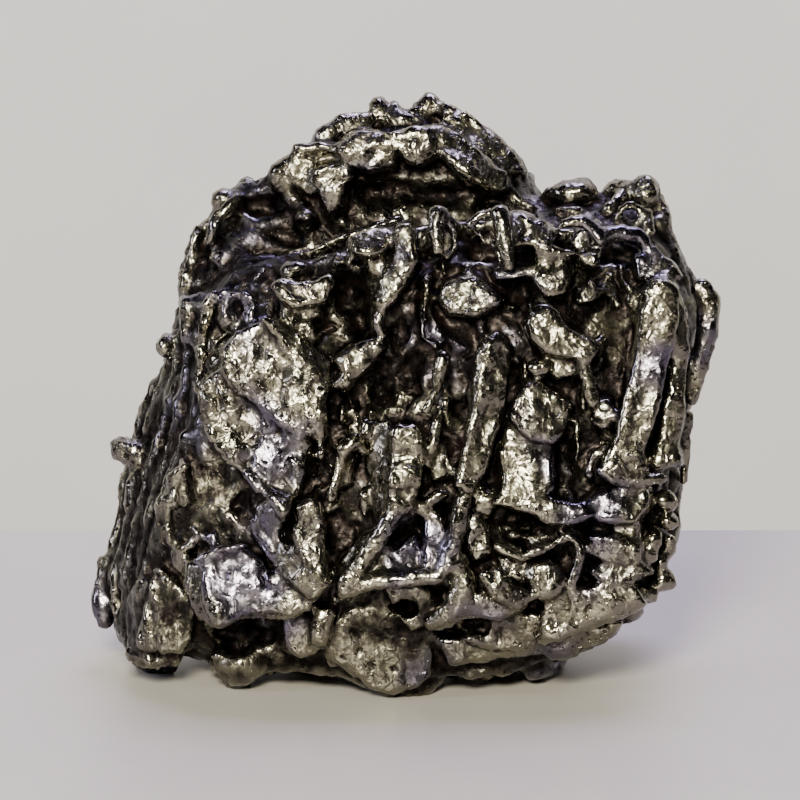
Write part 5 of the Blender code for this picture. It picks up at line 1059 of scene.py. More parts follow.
def back_ground(bm, hollows, tree):
    rng = random.Random(BACK_SEED)
    upright, slanting, level_grain = [grain.normalized() for grain in GRAINS]
    back, right = Vector((0, 1, 0)), Vector((1, 0, 0))
    top, under = Vector((0.0, 0.6, 0.8)), Vector((0, 0, -1))
    ribbed_rows(bm, hollows, tree, rng, back, (-19.0, 6.5, 30.0), (4.9, 0.0, 0.0), 9, upright, 32.0)
    ribbed_rows(bm, hollows, tree, rng, right, (20.0, 6.0, 15.5), (0.0, 0.0, 5.2), 4, upright, 30.0)
    ribbed_rows(bm, hollows, tree, rng, top, (-14.0, 52.0, 21.0), (1.2, -1.6, 3.8), 5, slanting, 27.0)
    ribbed_rows(bm, hollows, tree, rng, under, (-19.0, 0.0, 14.0), (4.6, 0.0, 0.0), 8, level_grain, 20.0)
    for where, grain, length, width, rise in (
        ((-13.0, 31.0, 40.0), upright, 15.0, 7.5, 1.5),
        ((4.0, 17.0, 42.0), slanting, 13.0, 7.0, 1.7),
        ((14.0, 34.0, 40.0), upright, 12.0, 6.0, 1.8),
        ((-18.0, 13.0, 38.0), slanting, 11.0, 6.0, 1.3),
        ((24.0, 17.0, 32.0), upright, 12.0, 6.0, 1.2),
        ((27.0, 26.0, 24.0), upright, 12.0, 6.0, 0.7),
        ((-24.0, 30.0, 32.0), upright, 13.0, 6.0, 0.8),
        ((-9.0, 46.0, 36.0), slanting, 10.0, 6.5, 1.3),
        ((6.0, 47.0, 36.0), upright, 9.0, 5.5, 1.2),
        ((20.0, 45.0, 28.0), level_grain, 8.0, 5.0, 0.8),
    ):
        slab(bm, tree, rng, where, grain, length, width, rise)


# ---------------------------------------------------------------- assembly


def add_masses(bm):
    for part in (body, cap_mass, shoulder_mass, brow_mass, ear_mass, feet):
        part(bm)


def add_features(bm):
    for part in (
        crown_slabs, crown_front, crown_knobs, shoulder_lumps, brow_left, brow_middle, brow_right,
        wrinkled_plate, rough_valley, left_finger, long_finger, finger_foot, leaf_plates, right_bar,
        wing, lower_right_plates, lower_middle_plates, front_block, keel_plates, wedge_foot, left_side,
    ):
        part(bm)


def mesh_object(name, bm, collection):
    bmesh.ops.recalc_face_normals(bm, faces=bm.faces)
    mesh = bpy.data.meshes.new(name)
    bm.to_mesh(mesh)
    bm.free()
    obj = bpy.data.objects.new(name, mesh)
    collection.objects.link(obj)
    return obj


def voxel_fuse(obj, size):
    remesh = obj.modifiers.new("fuse", "REMESH")
    remesh.mode = "VOXEL"
    remesh.voxel_size = size * MM
    remesh.adaptivity = 0.0
    return remesh


def carve(obj, name, cutter):
    cut = obj.modifiers.new(name, "BOOLEAN")
    cut.operation = "DIFFERENCE"
    cut.solver = "MANIFOLD"
    cut.object = cutter


def settle(obj, matrix=Matrix()):
    """Keeps the shape that the modifiers give, moved by matrix."""
    bpy.context.view_layer.update()
    shaped = obj.evaluated_get(bpy.context.evaluated_depsgraph_get())
    mesh = bpy.data.meshes.new_from_object(shaped)
    obj.modifiers.clear()
    obj.data = mesh
    mesh.transform(matrix)
    mesh.update()
    return mesh


def keep_largest(mesh):
    """Drops the crumbs that a cut leaves: every group of faces but the largest."""
    bm = bmesh.new()
    bm.from_mesh(mesh)
    groups, seen = [], set()
    for start in bm.faces:
        if start in seen:
            continue
        seen.add(start)
        group, front = [start], [start]
        while front:
            for edge in front.pop().edges:
                for face in edge.link_faces:
                    if face not in seen:
                        seen.add(face)
                        group.append(face)
                        front.append(face)
        groups.append(group)
    groups.sort(key=len, reverse=True)
    crumbs = [face for group in groups[1:] for face in group]
    bmesh.ops.delete(bm, geom=crumbs, context="FACES")
    bm.to_mesh(mesh)
    bm.free()


# ---------------------------------------------------------------- fine ground


def face_rubble(bm, hollows):
    """The broken ground of the valleys: short blades, crumbs and pits between the plates."""
    rng = random.Random(RUBBLE_SEED)
    for _ in range(440):
        u, v = rng.uniform(-23.0, 27.5), rng.uniform(4.0, 46.0)
        lean = rng.choice((-0.25, -0.25, -0.25, 1.1, -1.3))
        length = rng.uniform(1.2, 4.2)
        radius = rng.uniform(0.22, 0.55)
        rise = rng.uniform(-0.3, 0.9)
        kind = rng.random()
        corner_left, corner_right = level(min(max(v, 2.0), 43.0))[:2]
        if not corner_left + 0.5 < u < corner_right - 0.5:
            continue
        du = lean * length / (1 + abs(lean))
        dv = length / (1 + abs(lean))
        path = []
        for t in (-0.5, 0.0, 0.5):
            along, up = u + du * t, v + dv * t
            path.append((along, up, face_depth(along, up) - rise - rng.uniform(-0.2, 0.2), radius))
        if kind < 0.7:
            ridge(bm, path, sides=6)
        else:
            ridge(hollows, [(a, b, c + rise - 0.2, radius * 0.9) for a, b, c, _ in path], sides=6)


def fine_marks(hollows):
    """Small features that give the plates their own faces."""
    for u, v, r in ((-8.1, 52.1, 0.35), (-6.8, 51.9, 0.4), (-5.7, 52.1, 0.4), (-6.9, 51.1, 0.35)):
        knob(hollows, (u, v, 13.4), (r, r * 0.7, 0.9))
    for u, v, r in (
        (-0.5, 6.2, 0.35), (0.8, 5.6, 0.3), (-1.4, 4.4, 0.3), (0.6, 3.8, 0.35), (1.4, 4.8, 0.25),
        (-0.6, 3.0, 0.3), (-2.2, 5.6, 0.25), (-3.4, 4.0, 0.3), (1.8, 2.8, 0.3), (0.1, 5.0, 0.25),
        (20.5, 10.6, 0.3), (21.8, 10.9, 0.3), (23.0, 10.4, 0.3), (22.4, 10.0, 0.25), (19.4, 10.2, 0.3),
        (3.0, 24.6, 0.3), (3.8, 23.4, 0.35), (2.8, 22.6, 0.25), (-4.2, 54.2, 0.3), (0.6, 54.9, 0.35),
        (2.0, 55.2, 0.3), (-1.6, 55.2, 0.3), (6.2, 53.4, 0.35), (7.2, 52.4, 0.3),
    ):
        w = 13.0 if v > 50 else face_depth(u, v) - 1.6
        knob(hollows, (u, v, w), (r, r, 1.0))
    for path in (
        ((-5.6, 3.4, 7.6, 0.22), (-4.6, 2.0, 8.0, 0.2), (-3.4, 1.0, 8.6, 0.2)),
        ((-7.2, 4.0, 7.8, 0.22), (-5.8, 2.4, 8.2, 0.2), (-4.6, 1.2, 8.8, 0.2)),
        ((-8.0, 2.6, 8.6, 0.22), (-6.4, 1.4, 9.0, 0.2)),
        ((24.4, 36.0, 2.4, 0.16), (23.4, 31.0, 2.3, 0.16), (22.2, 26.0, 2.3, 0.16)),
        ((-24.2, 11.4, 9.3, 0.2), (-22.4, 8.6, 9.2, 0.2), (-21.8, 5.6, 9.4, 0.2)),
        ((-25.0, 10.0, 9.5, 0.2), (-23.4, 7.4, 9.4, 0.2), (-22.8, 5.0, 9.5, 0.2)),
        ((-25.4, 8.0, 9.7, 0.2), (-24.2, 6.0, 9.6, 0.2), (-24.0, 4.8, 9.7, 0.2)),
    ):
        ridge(hollows, path, sides=6)


# ---------------------------------------------------------------- melting and wrinkling


def spread_over(points, edges, rounds):
    """Averages each point with its neighbours, several times over."""
    count = len(points)
    first, second = edges[:, 0], edges[:, 1]
    degree = np.bincount(edges.ravel(), minlength=count)[:, None]
    for _ in range(rounds):
        total = np.empty_like(points)
        for axis in range(points.shape[1]):
            total[:, axis] = np.bincount(first, points[second, axis], count)
            total[:, axis] += np.bincount(second, points[first, axis], count)
        points = 0.5 * points + 0.5 * total / degree
    return points


def mesh_arrays(mesh):
    count = len(mesh.vertices)
    points = np.empty(count * 3)
    mesh.vertices.foreach_get("co", points)
    edges = np.empty(len(mesh.edges) * 2, dtype=np.int64)
    mesh.edges.foreach_get("vertices", edges)
    normals = np.empty(count * 3)
    mesh.vertices.foreach_get("normal", normals)
    return points.reshape(-1, 3), edges.reshape(-1, 2), normals.reshape(-1, 3)


def step(low, high, value):
    """0 below low, 1 above high and smooth between."""
    t = np.clip((value - low) / (high - low), 0.0, 1.0)
    return t * t * (3.0 - 2.0 * t)


def hollowness(points, edges, normals, rounds):
    """How far the ground round a point stands above it, in millimetres: above 0 in a hollow."""
    return ((spread_over(points, edges, rounds) - points) * normals).sum(axis=1) / MM


def sampled(points, scale, sample):
    """A noise value for each point, whose place is taken in millimetres times scale."""
    su, sw, sv = scale
    return np.array([sample(Vector((x * su, y * sw, z * sv))) for x, y, z in (points / MM).tolist()])


def facet(place):
    """Height over small tilted faces that meet in sharp steps, like crumpled foil."""
    cell = noise.voronoi(place)[1][0]
    turn = cell.x * 12.9 + cell.y * 78.2 + cell.z * 37.7
    slope = Vector((math.sin(turn), math.sin(turn * 1.7 + 1.0), math.sin(turn * 2.3 + 2.0)))
    return (place - cell).dot(slope)


def standing(mesh, tree):
    """How far each place stands out of the stone's plain masses, in millimetres."""
    heights = []
    for vertex in mesh.vertices:
        near, normal, _, _ = tree.find_nearest(vertex.co)
        apart = vertex.co - near
        heights.append(math.copysign(apart.length, apart.dot(normal)) / MM)
    return np.array(heights)


def sunk(points, proud):
    """0 on the plates and ribs and 1 on the ground between them, which lies deeper on the front."""
    limit = 0.5 + 1.2 * step(18.0, 13.0, points[:, 1] / MM)
    return step(0.6, -0.6, proud - limit)


def crumpling(u, v):
    """How strongly the face is crumpled: most on the largest plate, least on the right finger."""
    plate_part = step(1.3, 0.8, np.hypot((u + 13.0) / 8.0, (v - 29.0) / 10.0))
    finger_part = step(1.4, 0.8, np.hypot((u - 25.0) / 5.0, (v - 33.0) / 11.0))
    return 1.0 + 0.7 * plate_part - 0.6 * finger_part


def wrinkle(mesh, shape, proud):
    """Gives the melted surface its undulations, facets, crests, pits, striations and rubble."""
    points, edges, normals = mesh_arrays(mesh)
    wide = hollowness(points, edges, normals, 40)
    u, w, v = (points / MM).T
    deep = np.maximum(step(0.05, 0.55, wide), 0.8 * sunk(points, proud))
    plain = 1.0 - deep
    left = step(-19.5, -22.5, u) * step(23.0, 20.0, w)
    lumps = sampled(points, (0.22, 0.22, 0.22), lambda p: noise.fractal(p, 1.0, 2.0, 2))
    crests = sampled(points, (0.85, 0.7, 0.6), lambda p: abs(noise.noise(p)))
    small = sampled(points, (1.9, 1.7, 1.5), lambda p: noise.noise(p))
    lines = sampled(points, (1.7, 1.7, 0.16), lambda p: noise.noise(p + Vector((p.z * 1.6, 0.0, 0.0))))
    cells = sampled(points, (0.62, 0.62, 0.62), lambda p: noise.voronoi(p)[0][0])
    patches = sampled(points, (0.16, 0.16, 0.16), lambda p: noise.noise(p + Vector((5.0, 3.0, 1.0))))
    pitted = step(0.0, 0.25, patches)
    facets = sampled(points, (0.62, 0.6, 0.46), facet)
    facets += 0.3 * sampled(points, (1.25, 1.2, 0.95), facet)
    facets *= crumpling(u, v)
    rough = sampled(points, (0.75, 0.75, 0.75), lambda p: noise.fractal(p, 0.8, 2.0, 3))
    height = shape.lump_height * lumps
    height += shape.facet_height * facets * (0.25 + 0.75 * plain)
    height += shape.wrinkle_height * (1.0 - np.minimum(crests * 3.2, 1.0)) * plain
    height += shape.wrinkle_height * 0.55 * small * (0.4 + 0.6 * deep)
    height += shape.striation_height * lines * (0.25 + 1.2 * left)
    height -= shape.pit_depth * step(0.34, 0.12, cells) * pitted
    height += shape.rubble_height * deep * rough
    points = points + normals * height[:, None]
    mesh.vertices.foreach_set("co", points.ravel())
    mesh.update()


def note_hollows(mesh, proud):
    """Stores how hollow each place is, over a wide and a narrow ring round it, and how sunk it is."""
    points, edges, normals = mesh_arrays(mesh)
    for name, values in (
        ("hollow_wide", hollowness(points, edges, normals, 50)),
        ("hollow_fine", hollowness(points, edges, normals, 6)),
        ("sunk", sunk(points, proud)),
    ):
        layer = mesh.attributes.new(name, "FLOAT", "POINT")
        layer.data.foreach_set("value", values.astype(np.float32))


def roughen(mesh, height):
    """Breaks up the smooth walls of the hollows."""
    points, _, normals = mesh_arrays(mesh)
    bumps = sampled(points, (0.55, 0.55, 0.55), lambda p: noise.fractal(p, 0.9, 2.0, 2))
    points = points + normals * (height * bumps)[:, None]
    mesh.vertices.foreach_set("co", points.ravel())
    mesh.update()


# ---------------------------------------------------------------- the stone


def fit_to_box(mesh):
    """Sets the mesh on the table and gives it the solid's exact box."""
    points = mesh_arrays(mesh)[0]
    points[:, 2] = np.maximum(points[:, 2], 0.0)
    low, high = points.min(axis=0), points.max(axis=0)
    box_low, box_high = np.array(SOLID_BOX[0]), np.array(SOLID_BOX[1])
    points = box_low + (points - low) / (high - low) * (box_high - box_low)
    mesh.vertices.foreach_set("co", points.ravel())
    mesh.update()


def build_stone(shape):
    shell = bmesh.new()
    add_masses(shell)
    bmesh.ops.recalc_face_normals(shell, faces=shell.faces)
    tree = BVHTree.FromBMesh(shell)
    hollows = bmesh.new()
    deep_pits(hollows)
    slots(hollows)
    back_ground(shell, hollows, tree)
    wild_blades(shell, hollows, tree)
    add_features(shell)
    face_rubble(shell, hollows)
    fine_marks(hollows)

    stone = mesh_object("meteorite_stone", shell, bpy.context.scene.collection)
    pits = mesh_object("stone_hollows", hollows, bpy.context.scene.collection)
    voxel_fuse(pits, shape.hollow_voxel / MM)
    roughen(settle(pits), shape.wall_roughness)
    voxel_fuse(pits, shape.hollow_voxel / MM)
    voxel_fuse(stone, shape.fuse_voxel / MM)
    carve(stone, "hollow_out", pits)
    voxel_fuse(stone, shape.fuse_voxel / MM)
    melt = stone.modifiers.new("melt", "SMOOTH")
    melt.factor = 0.5
    melt.iterations = shape.melt_passes
    mesh = settle(stone)
    bpy.data.objects.remove(pits, do_unlink=True)
    keep_largest(mesh)
    proud = standing(mesh, tree)
    wrinkle(mesh, shape, proud)
    note_hollows(mesh, proud)
    thin = stone.modifiers.new("thin", "DECIMATE")
    thin.ratio = min(1.0, shape.triangles / (2.0 * len(mesh.polygons)))
    thin.use_collapse_triangulate = True
    lean = Matrix.Rotation(-FACE_LEAN, 4, "X")
    lift = Matrix.Translation((0.0, 0.0, -FLOOR_OFFSET * math.cos(FACE_LEAN) * MM))
    mesh = settle(stone, lift @ lean)
    fit_to_box(mesh)
    mesh.shade_smooth()
    return stone


# ---------------------------------------------------------------- shared shader groups


class Wiring:
    """Adds nodes and links to one node tree."""

    def __init__(self, tree):
        self.tree = tree

    def add(self, kind, **settings):
        made = self.tree.nodes.new(kind)
        for name, value in settings.items():
            setattr(made, name, value)
        return made

    def join(self, source, target):
        self.tree.links.new(source, target)

    def feed(self, socket, value):
        if isinstance(value, bpy.types.NodeSocket):
            self.join(value, socket)
        else:
            socket.default_value = value

    def maths(self, operation, first, second=0.0, third=0.0, clamp=False):
        made = self.add("ShaderNodeMath", operation=operation, use_clamp=clamp)
        for socket, value in zip(made.inputs, (first, second, third)):
            self.feed(socket, value)
        return made.outputs[0]

    def between(self, value, low, high, start=0.0, end=1.0):
        made = self.add("ShaderNodeMapRange", interpolation_type="SMOOTHSTEP")
        for name, number in (
            ("Value", value), ("From Min", low), ("From Max", high), ("To Min", start), ("To Max", end),
        ):
            self.feed(made.inputs[name], number)
        return made.outputs["Result"]

    def mixed(self, share, first, second):
        made = self.add("ShaderNodeMix", data_type="RGBA")
        self.feed(made.inputs["Factor"], share)
        self.feed(made.inputs[6], first)
        self.feed(made.inputs[7], second)
        return made.outputs[2]

    def grain(self, place, scale, detail=3.0, roughness=0.6, distortion=0.0):
        made = self.add("ShaderNodeTexNoise")
        self.feed(made.inputs["Vector"], place)
        for name, value in (
            ("Scale", scale), ("Detail", detail), ("Roughness", roughness), ("Distortion", distortion),
        ):
            self.feed(made.inputs[name], value)
        return made.outputs["Fac"]


    def cracks(self, place, scale):
        """Fine wandering cracks, open in some places and closed in others."""
        wander = self.add("ShaderNodeTexNoise", noise_dimensions="3D")
        self.join(place, wander.inputs["Vector"])
        wander.inputs["Scale"].default_value = scale * 1.4
        wander.inputs["Detail"].default_value = 2.0
        moved = self.add("ShaderNodeVectorMath", operation="MULTIPLY_ADD")
        self.join(wander.outputs["Color"], moved.inputs[0])
        moved.inputs[1].default_value = (0.9 / scale, 0.9 / scale, 0.9 / scale)
        self.join(place, moved.inputs[2])
        cells = self.add("ShaderNodeTexVoronoi", feature="DISTANCE_TO_EDGE")
        self.join(moved.outputs[0], cells.inputs["Vector"])
        cells.inputs["Scale"].default_value = scale
        lines = self.between(cells.outputs["Distance"], 0.012, 0.05, 1.0, 0.0)
        return self.maths("MULTIPLY", lines, self.between(self.grain(place, scale * 0.7, 2.0), 0.5, 0.62))

    def crumple(self, place, scale):
        """Height over small tilted faces that meet in sharp steps."""
        cells = self.add("ShaderNodeTexVoronoi", feature="F1")
        self.feed(cells.inputs["Vector"], place)
        self.feed(cells.inputs["Scale"], scale)
        apart = self.add("ShaderNodeVectorMath", operation="SUBTRACT")
        self.join(place, apart.inputs[0])
        self.join(cells.outputs["Position"], apart.inputs[1])
        slope = self.add("ShaderNodeVectorMath", operation="SUBTRACT")
        self.join(cells.outputs["Color"], slope.inputs[0])
        slope.inputs[1].default_value = (0.5, 0.5, 0.5)
        tilted = self.add("ShaderNodeVectorMath", operation="DOT_PRODUCT")
        self.join(apart.outputs[0], tilted.inputs[0])
        self.join(slope.outputs[0], tilted.inputs[1])
        return self.maths("MULTIPLY", tilted.outputs["Value"], scale)


def shader_group(name, inputs, outputs):
    """A node group with float or colour sockets, and its wiring, input and output nodes."""
    tree = bpy.data.node_groups.new(name, "ShaderNodeTree")
    for label, kind in inputs:
        tree.interface.new_socket(name=label, in_out="INPUT", socket_type=kind)
    for label, kind in outputs:
        tree.interface.new_socket(name=label, in_out="OUTPUT", socket_type=kind)
    wiring = Wiring(tree)
    return wiring, wiring.add("NodeGroupInput").outputs, wiring.add("NodeGroupOutput").inputs


def melted_grain_group():
    """Fine relief of melted metal: crumpled facets, ripples, small pits and sharp creases."""
    wiring, given, put = shader_group(
        "melted grain",
        (("Place", "NodeSocketVector"), ("Facet Scale", "NodeSocketFloat"),
         ("Ripple Scale", "NodeSocketFloat"), ("Pit Scale", "NodeSocketFloat")),
        (("Height", "NodeSocketFloat"), ("Pits", "NodeSocketFloat"), ("Ripples", "NodeSocketFloat"),
         ("Cracks", "NodeSocketFloat")),
    )
    place = given["Place"]
    tilted = wiring.crumple(place, given["Facet Scale"])
    finer = wiring.crumple(place, wiring.maths("MULTIPLY", given["Facet Scale"], 2.3))
    tilted = wiring.maths("MULTIPLY_ADD", finer, 0.4, tilted)
    ripples = wiring.grain(place, given["Ripple Scale"], 1.5, 0.5, 0.6)
    crest = wiring.maths("ABSOLUTE", wiring.maths("SUBTRACT", ripples, 0.5))
    crest = wiring.between(crest, 0.0, 0.12, 1.0, 0.0)
    cells = wiring.add("ShaderNodeTexVoronoi", feature="F1")
    wiring.join(place, cells.inputs["Vector"])
    wiring.join(given["Pit Scale"], cells.inputs["Scale"])
    where = wiring.between(wiring.grain(place, 240.0, 2.0), 0.5, 0.62)
    pits = wiring.maths("MULTIPLY", wiring.between(cells.outputs["Distance"], 0.16, 0.34, 1.0, 0.0), where)
    height = wiring.maths("MULTIPLY_ADD", crest, 0.25, wiring.maths("MULTIPLY", ripples, 0.6))
    height = wiring.maths("MULTIPLY_ADD", tilted, 1.1, height)
    height = wiring.maths("MULTIPLY_ADD", pits, -0.8, height)
    cracks = wiring.cracks(place, 430.0)
    wiring.join(cracks, put["Cracks"])
    wiring.join(height, put["Height"])
    wiring.join(pits, put["Pits"])
    wiring.join(ripples, put["Ripples"])
    return wiring.tree


def shade_scale_and_rust_masks_group():
    """Where the stone is polished, where dark scale and painted shade lie in its hollows, sunk valleys and
    creases, and where rust has gathered.
    """
    wiring, given, put = shader_group(
        "shade, scale and rust masks",
        (("Place", "NodeSocketVector"), ("Wide", "NodeSocketFloat"), ("Fine", "NodeSocketFloat"),
         ("Sunk", "NodeSocketFloat")),
        (("Scale", "NodeSocketFloat"), ("Rust", "NodeSocketFloat"), ("Rim", "NodeSocketFloat")),
    )
    place = given["Place"]
    broad = wiring.grain(place, 130.0, 3.0)
    near = wiring.grain(place, 700.0, 3.0)
    wide = wiring.maths("MULTIPLY_ADD", wiring.maths("SUBTRACT", broad, 0.5), 0.5, given["Wide"])
    wide = wiring.maths("MULTIPLY_ADD", wiring.maths("SUBTRACT", near, 0.5), 0.25, wide)
    wide = wiring.maths("MULTIPLY_ADD", given["Sunk"], 0.42, wide)
    # The Scale output is dark scale together with painted shade: it is strongest in the hollows, the sunk
    # valleys and the fine creases, where shade falls.
    scale = wiring.between(wide, 0.02, 0.5)
    creases = wiring.between(given["Fine"], 0.015, 0.07)
    scale = wiring.maths("MAXIMUM", scale, wiring.maths("MULTIPLY", creases, 0.8))
    rust = wiring.maths("MULTIPLY", wiring.between(wide, 0.15, 0.75), wiring.between(near, 0.42, 0.6))
    rim = wiring.between(given["Fine"], -0.02, -0.08)
    wiring.join(scale, put["Scale"])
    wiring.join(rust, put["Rust"])
    wiring.join(rim, put["Rim"])
    return wiring.tree


def mottle_group():
    """A faint cloudiness and dust for the painted table and its backdrop."""
    wiring, given, put = shader_group(
        "pale mottle",
        (("Place", "NodeSocketVector"), ("Cloud Scale", "NodeSocketFloat"), ("Base", "NodeSocketColor"),
         ("Shade", "NodeSocketColor")),
        (("Color", "NodeSocketColor"), ("Dust", "NodeSocketFloat")),
    )
    clouds = wiring.between(wiring.grain(given["Place"], given["Cloud Scale"], 3.0), 0.35, 0.68)
    dust = wiring.between(wiring.grain(given["Place"], 900.0, 2.0), 0.66, 0.78)
    wiring.join(wiring.mixed(clouds, given["Base"], given["Shade"]), put["Color"])
    wiring.join(dust, put["Dust"])
    return wiring.tree


def group_node(wiring, tree, **values):
    made = wiring.add("ShaderNodeGroup", node_tree=tree)
    for label, value in values.items():
        wiring.feed(made.inputs[label.replace("_", " ")], value)
    return made


def new_material(name):
    material = bpy.data.materials.new(name)
    material.use_nodes = True
    return material, Wiring(material.node_tree), material.node_tree.nodes["Principled BSDF"]


def rgba(colour):
    return (*colour, 1.0)


# ---------------------------------------------------------------- materials


def meteoritic_iron(look, grain_tree, mask_tree):
    material, wiring, shader = new_material("meteoritic_iron")
    place = wiring.add("ShaderNodeTexCoord").outputs["Object"]
    wide = wiring.add("ShaderNodeAttribute", attribute_name="hollow_wide").outputs["Fac"]
    fine = wiring.add("ShaderNodeAttribute", attribute_name="hollow_fine").outputs["Fac"]
    grain = group_node(
        wiring, grain_tree, Place=place, Facet_Scale=1300.0, Ripple_Scale=620.0, Pit_Scale=1500.0
    ).outputs
    deep = wiring.add("ShaderNodeAttribute", attribute_name="sunk").outputs["Fac"]
    masks = group_node(wiring, mask_tree, Place=place, Wide=wide, Fine=fine, Sunk=deep).outputs
    patch = wiring.between(wiring.grain(place, 170.0, 4.0), 0.42, 0.62)
    metal = wiring.mixed(patch, rgba(look.plate_colour), rgba(look.second_plate_colour))
    # Bluish purple patches at random: partly a film on the iron, partly a painted lavender reflection of the
    # overhead light.
    tint = wiring.between(wiring.grain(place, 95.0, 2.0, 0.5), 0.5, 0.66, 0.0, 0.6)
    metal = wiring.mixed(tint, metal, rgba(look.film_and_lavender_sheen))
    # Painted shade with dark scale: the hollows, sunk valleys and creases are darkened towards this colour,
    # in place of the shade that falls there.
    metal = wiring.mixed(masks["Scale"], metal, rgba(look.shade_and_scale_colour))
    metal = wiring.mixed(wiring.maths("MULTIPLY", masks["Rust"], 0.7), metal, rgba(look.rust_colour))
    # Painted shade with dark scale: the small pits of the grain, which exist only as bump, are darkened as
    # well.
    metal = wiring.mixed(wiring.maths("MULTIPLY", grain["Pits"], 0.7), metal, rgba(look.shade_and_scale_colour))
    metal = wiring.mixed(wiring.maths("MULTIPLY", grain["Cracks"], 0.6), metal, rgba(look.shade_and_scale_colour))
    wiring.join(metal, shader.inputs["Base Color"])
    duller = look.hollow_roughness - look.plate_roughness
    dull = wiring.maths("MULTIPLY_ADD", masks["Scale"], duller, look.plate_roughness)
    dull = wiring.maths("MULTIPLY_ADD", wiring.maths("SUBTRACT", grain["Ripples"], 0.5), 0.25, dull)
    dull = wiring.maths("MULTIPLY_ADD", masks["Rim"], -0.1, dull, clamp=True)
    wiring.join(dull, shader.inputs["Roughness"])
    wiring.join(wiring.maths("MULTIPLY_ADD", masks["Rust"], -0.35, 1.0), shader.inputs["Metallic"])
    bump = wiring.add("ShaderNodeBump")
    bump.inputs["Strength"].default_value = 0.9
    bump.inputs["Distance"].default_value = look.grain_height
    polish = wiring.maths("MULTIPLY_ADD", masks["Rim"], -0.6, 1.0)
    polish = wiring.maths("MULTIPLY", polish, wiring.maths("MULTIPLY_ADD", tint, -0.9, 1.0))
    wiring.join(wiring.maths("MULTIPLY", grain["Height"], polish), bump.inputs["Height"])
    wiring.join(bump.outputs["Normal"], shader.inputs["Normal"])
    return material


def pale_paint(name, base, shade, roughness, cloud_scale, mottle_tree):
    material, wiring, shader = new_material(name)
    place = wiring.add("ShaderNodeTexCoord").outputs["Object"]
    mottle = group_node(
        wiring, mottle_tree, Place=place, Cloud_Scale=cloud_scale, Base=rgba(base), Shade=rgba(shade)
    ).outputs
    wiring.join(mottle["Color"], shader.inputs["Base Color"])
    wiring.join(
        wiring.maths("MULTIPLY_ADD", mottle["Dust"], 0.25, roughness, clamp=True), shader.inputs["Roughness"]
    )
    return material


def seen_from_the_front(material):
    """Lets a panel be seen through from behind, so that it never hides the stone."""
    wiring = Wiring(material.node_tree)
    nodes = material.node_tree.nodes
    clear = wiring.add("ShaderNodeBsdfTransparent")
    mix = wiring.add("ShaderNodeMixShader")
    wiring.join(wiring.add("ShaderNodeNewGeometry").outputs["Backfacing"], mix.inputs["Fac"])
    wiring.join(nodes["Principled BSDF"].outputs["BSDF"], mix.inputs[1])
    wiring.join(clear.outputs["BSDF"], mix.inputs[2])
    wiring.join(mix.outputs["Shader"], nodes["Material Output"].inputs["Surface"])


# ---------------------------------------------------------------- the table and the light


def plain_panel(name, corners, material):
    """A flat stage panel with a few divisions."""
    bm = bmesh.new()
    face = bm.faces.new([bm.verts.new(corner) for corner in corners])
    bmesh.ops.subdivide_edges(bm, edges=face.edges[:], cuts=3, use_grid_fill=True)
    mesh = bpy.data.meshes.new(name)
    bm.to_mesh(mesh)
    bm.free()
    mesh.materials.append(material)
    obj = bpy.data.objects.new(name, mesh)
    bpy.context.scene.collection.objects.link(obj)
    return obj


def soft_light(name, aim, direction, distance, size, power, colour):
    data = bpy.data.lights.new(name, "AREA")
    data.shape = "RECTANGLE"
    data.size, data.size_y = size
    data.energy = power
    data.color = colour
    obj = bpy.data.objects.new(name, data)
    obj.location = aim + Vector(direction).normalized() * distance
    obj.rotation_euler = (aim - obj.location).to_track_quat("-Z", "Y").to_euler()
    bpy.context.scene.collection.objects.link(obj)
    return obj


def stone_place(u, v, w):
    """Where a place of the working frame stands on the table."""
    turned = Matrix.Rotation(-FACE_LEAN, 4, "X") @ point(u, v, w)
    turned.x -= SIDE_SHIFT * MM
    turned.y -= DEPTH_SHIFT * MM
    turned.z -= FLOOR_OFFSET * math.cos(FACE_LEAN) * MM
    return turned


def long_lens(stage):
    """A level camera far in front of the ribbed face, looking down on the table."""
    data = bpy.data.cameras.new("long_lens")
    data.sensor_width = 36.0
    data.lens = 36.0 * stage.camera_distance / stage.view_width
    data.clip_end = 10.0
    camera = bpy.data.objects.new("long_lens", data)
    aim = stone_place(0.0, 29.7, 10.0)
    down = Vector((0.0, math.cos(stage.camera_pitch), -math.sin(stage.camera_pitch)))
    camera.location = aim - down * stage.camera_distance
    camera.rotation_euler = down.to_track_quat("-Z", "Y").to_euler()
    bpy.context.scene.collection.objects.link(camera)
    bpy.context.scene.camera = camera
    return camera


def dim_room(colour, strength, far_colour):
    """A dim room whose far walls look pale, so that no view ends in black."""
    world = bpy.data.worlds.new("dim_room")
    world.use_nodes = True
    wiring = Wiring(world.node_tree)
    nodes = world.node_tree.nodes
    nodes["Background"].inputs["Color"].default_value = rgba(colour)
    nodes["Background"].inputs["Strength"].default_value = strength
    walls = wiring.add("ShaderNodeBackground")
    walls.inputs["Color"].default_value = rgba(far_colour)
    mix = wiring.add("ShaderNodeMixShader")
    wiring.join(wiring.add("ShaderNodeLightPath").outputs["Is Camera Ray"], mix.inputs["Fac"])
    wiring.join(nodes["Background"].outputs["Background"], mix.inputs[1])
    wiring.join(walls.outputs["Background"], mix.inputs[2])
    wiring.join(mix.outputs["Shader"], nodes["World Output"].inputs["Surface"])
    bpy.context.scene.world = world


# ---------------------------------------------------------------- settings


def colour_property(label, text, default):
    return bpy.props.FloatVectorProperty(
        name=label, description=text, subtype="COLOR", size=3, min=0.0, max=1.0, default=default
    )


def length_property(label, text, default):
    return bpy.props.FloatProperty(
        name=label, description=text, unit="LENGTH", subtype="DISTANCE", precision=6, default=default
    )


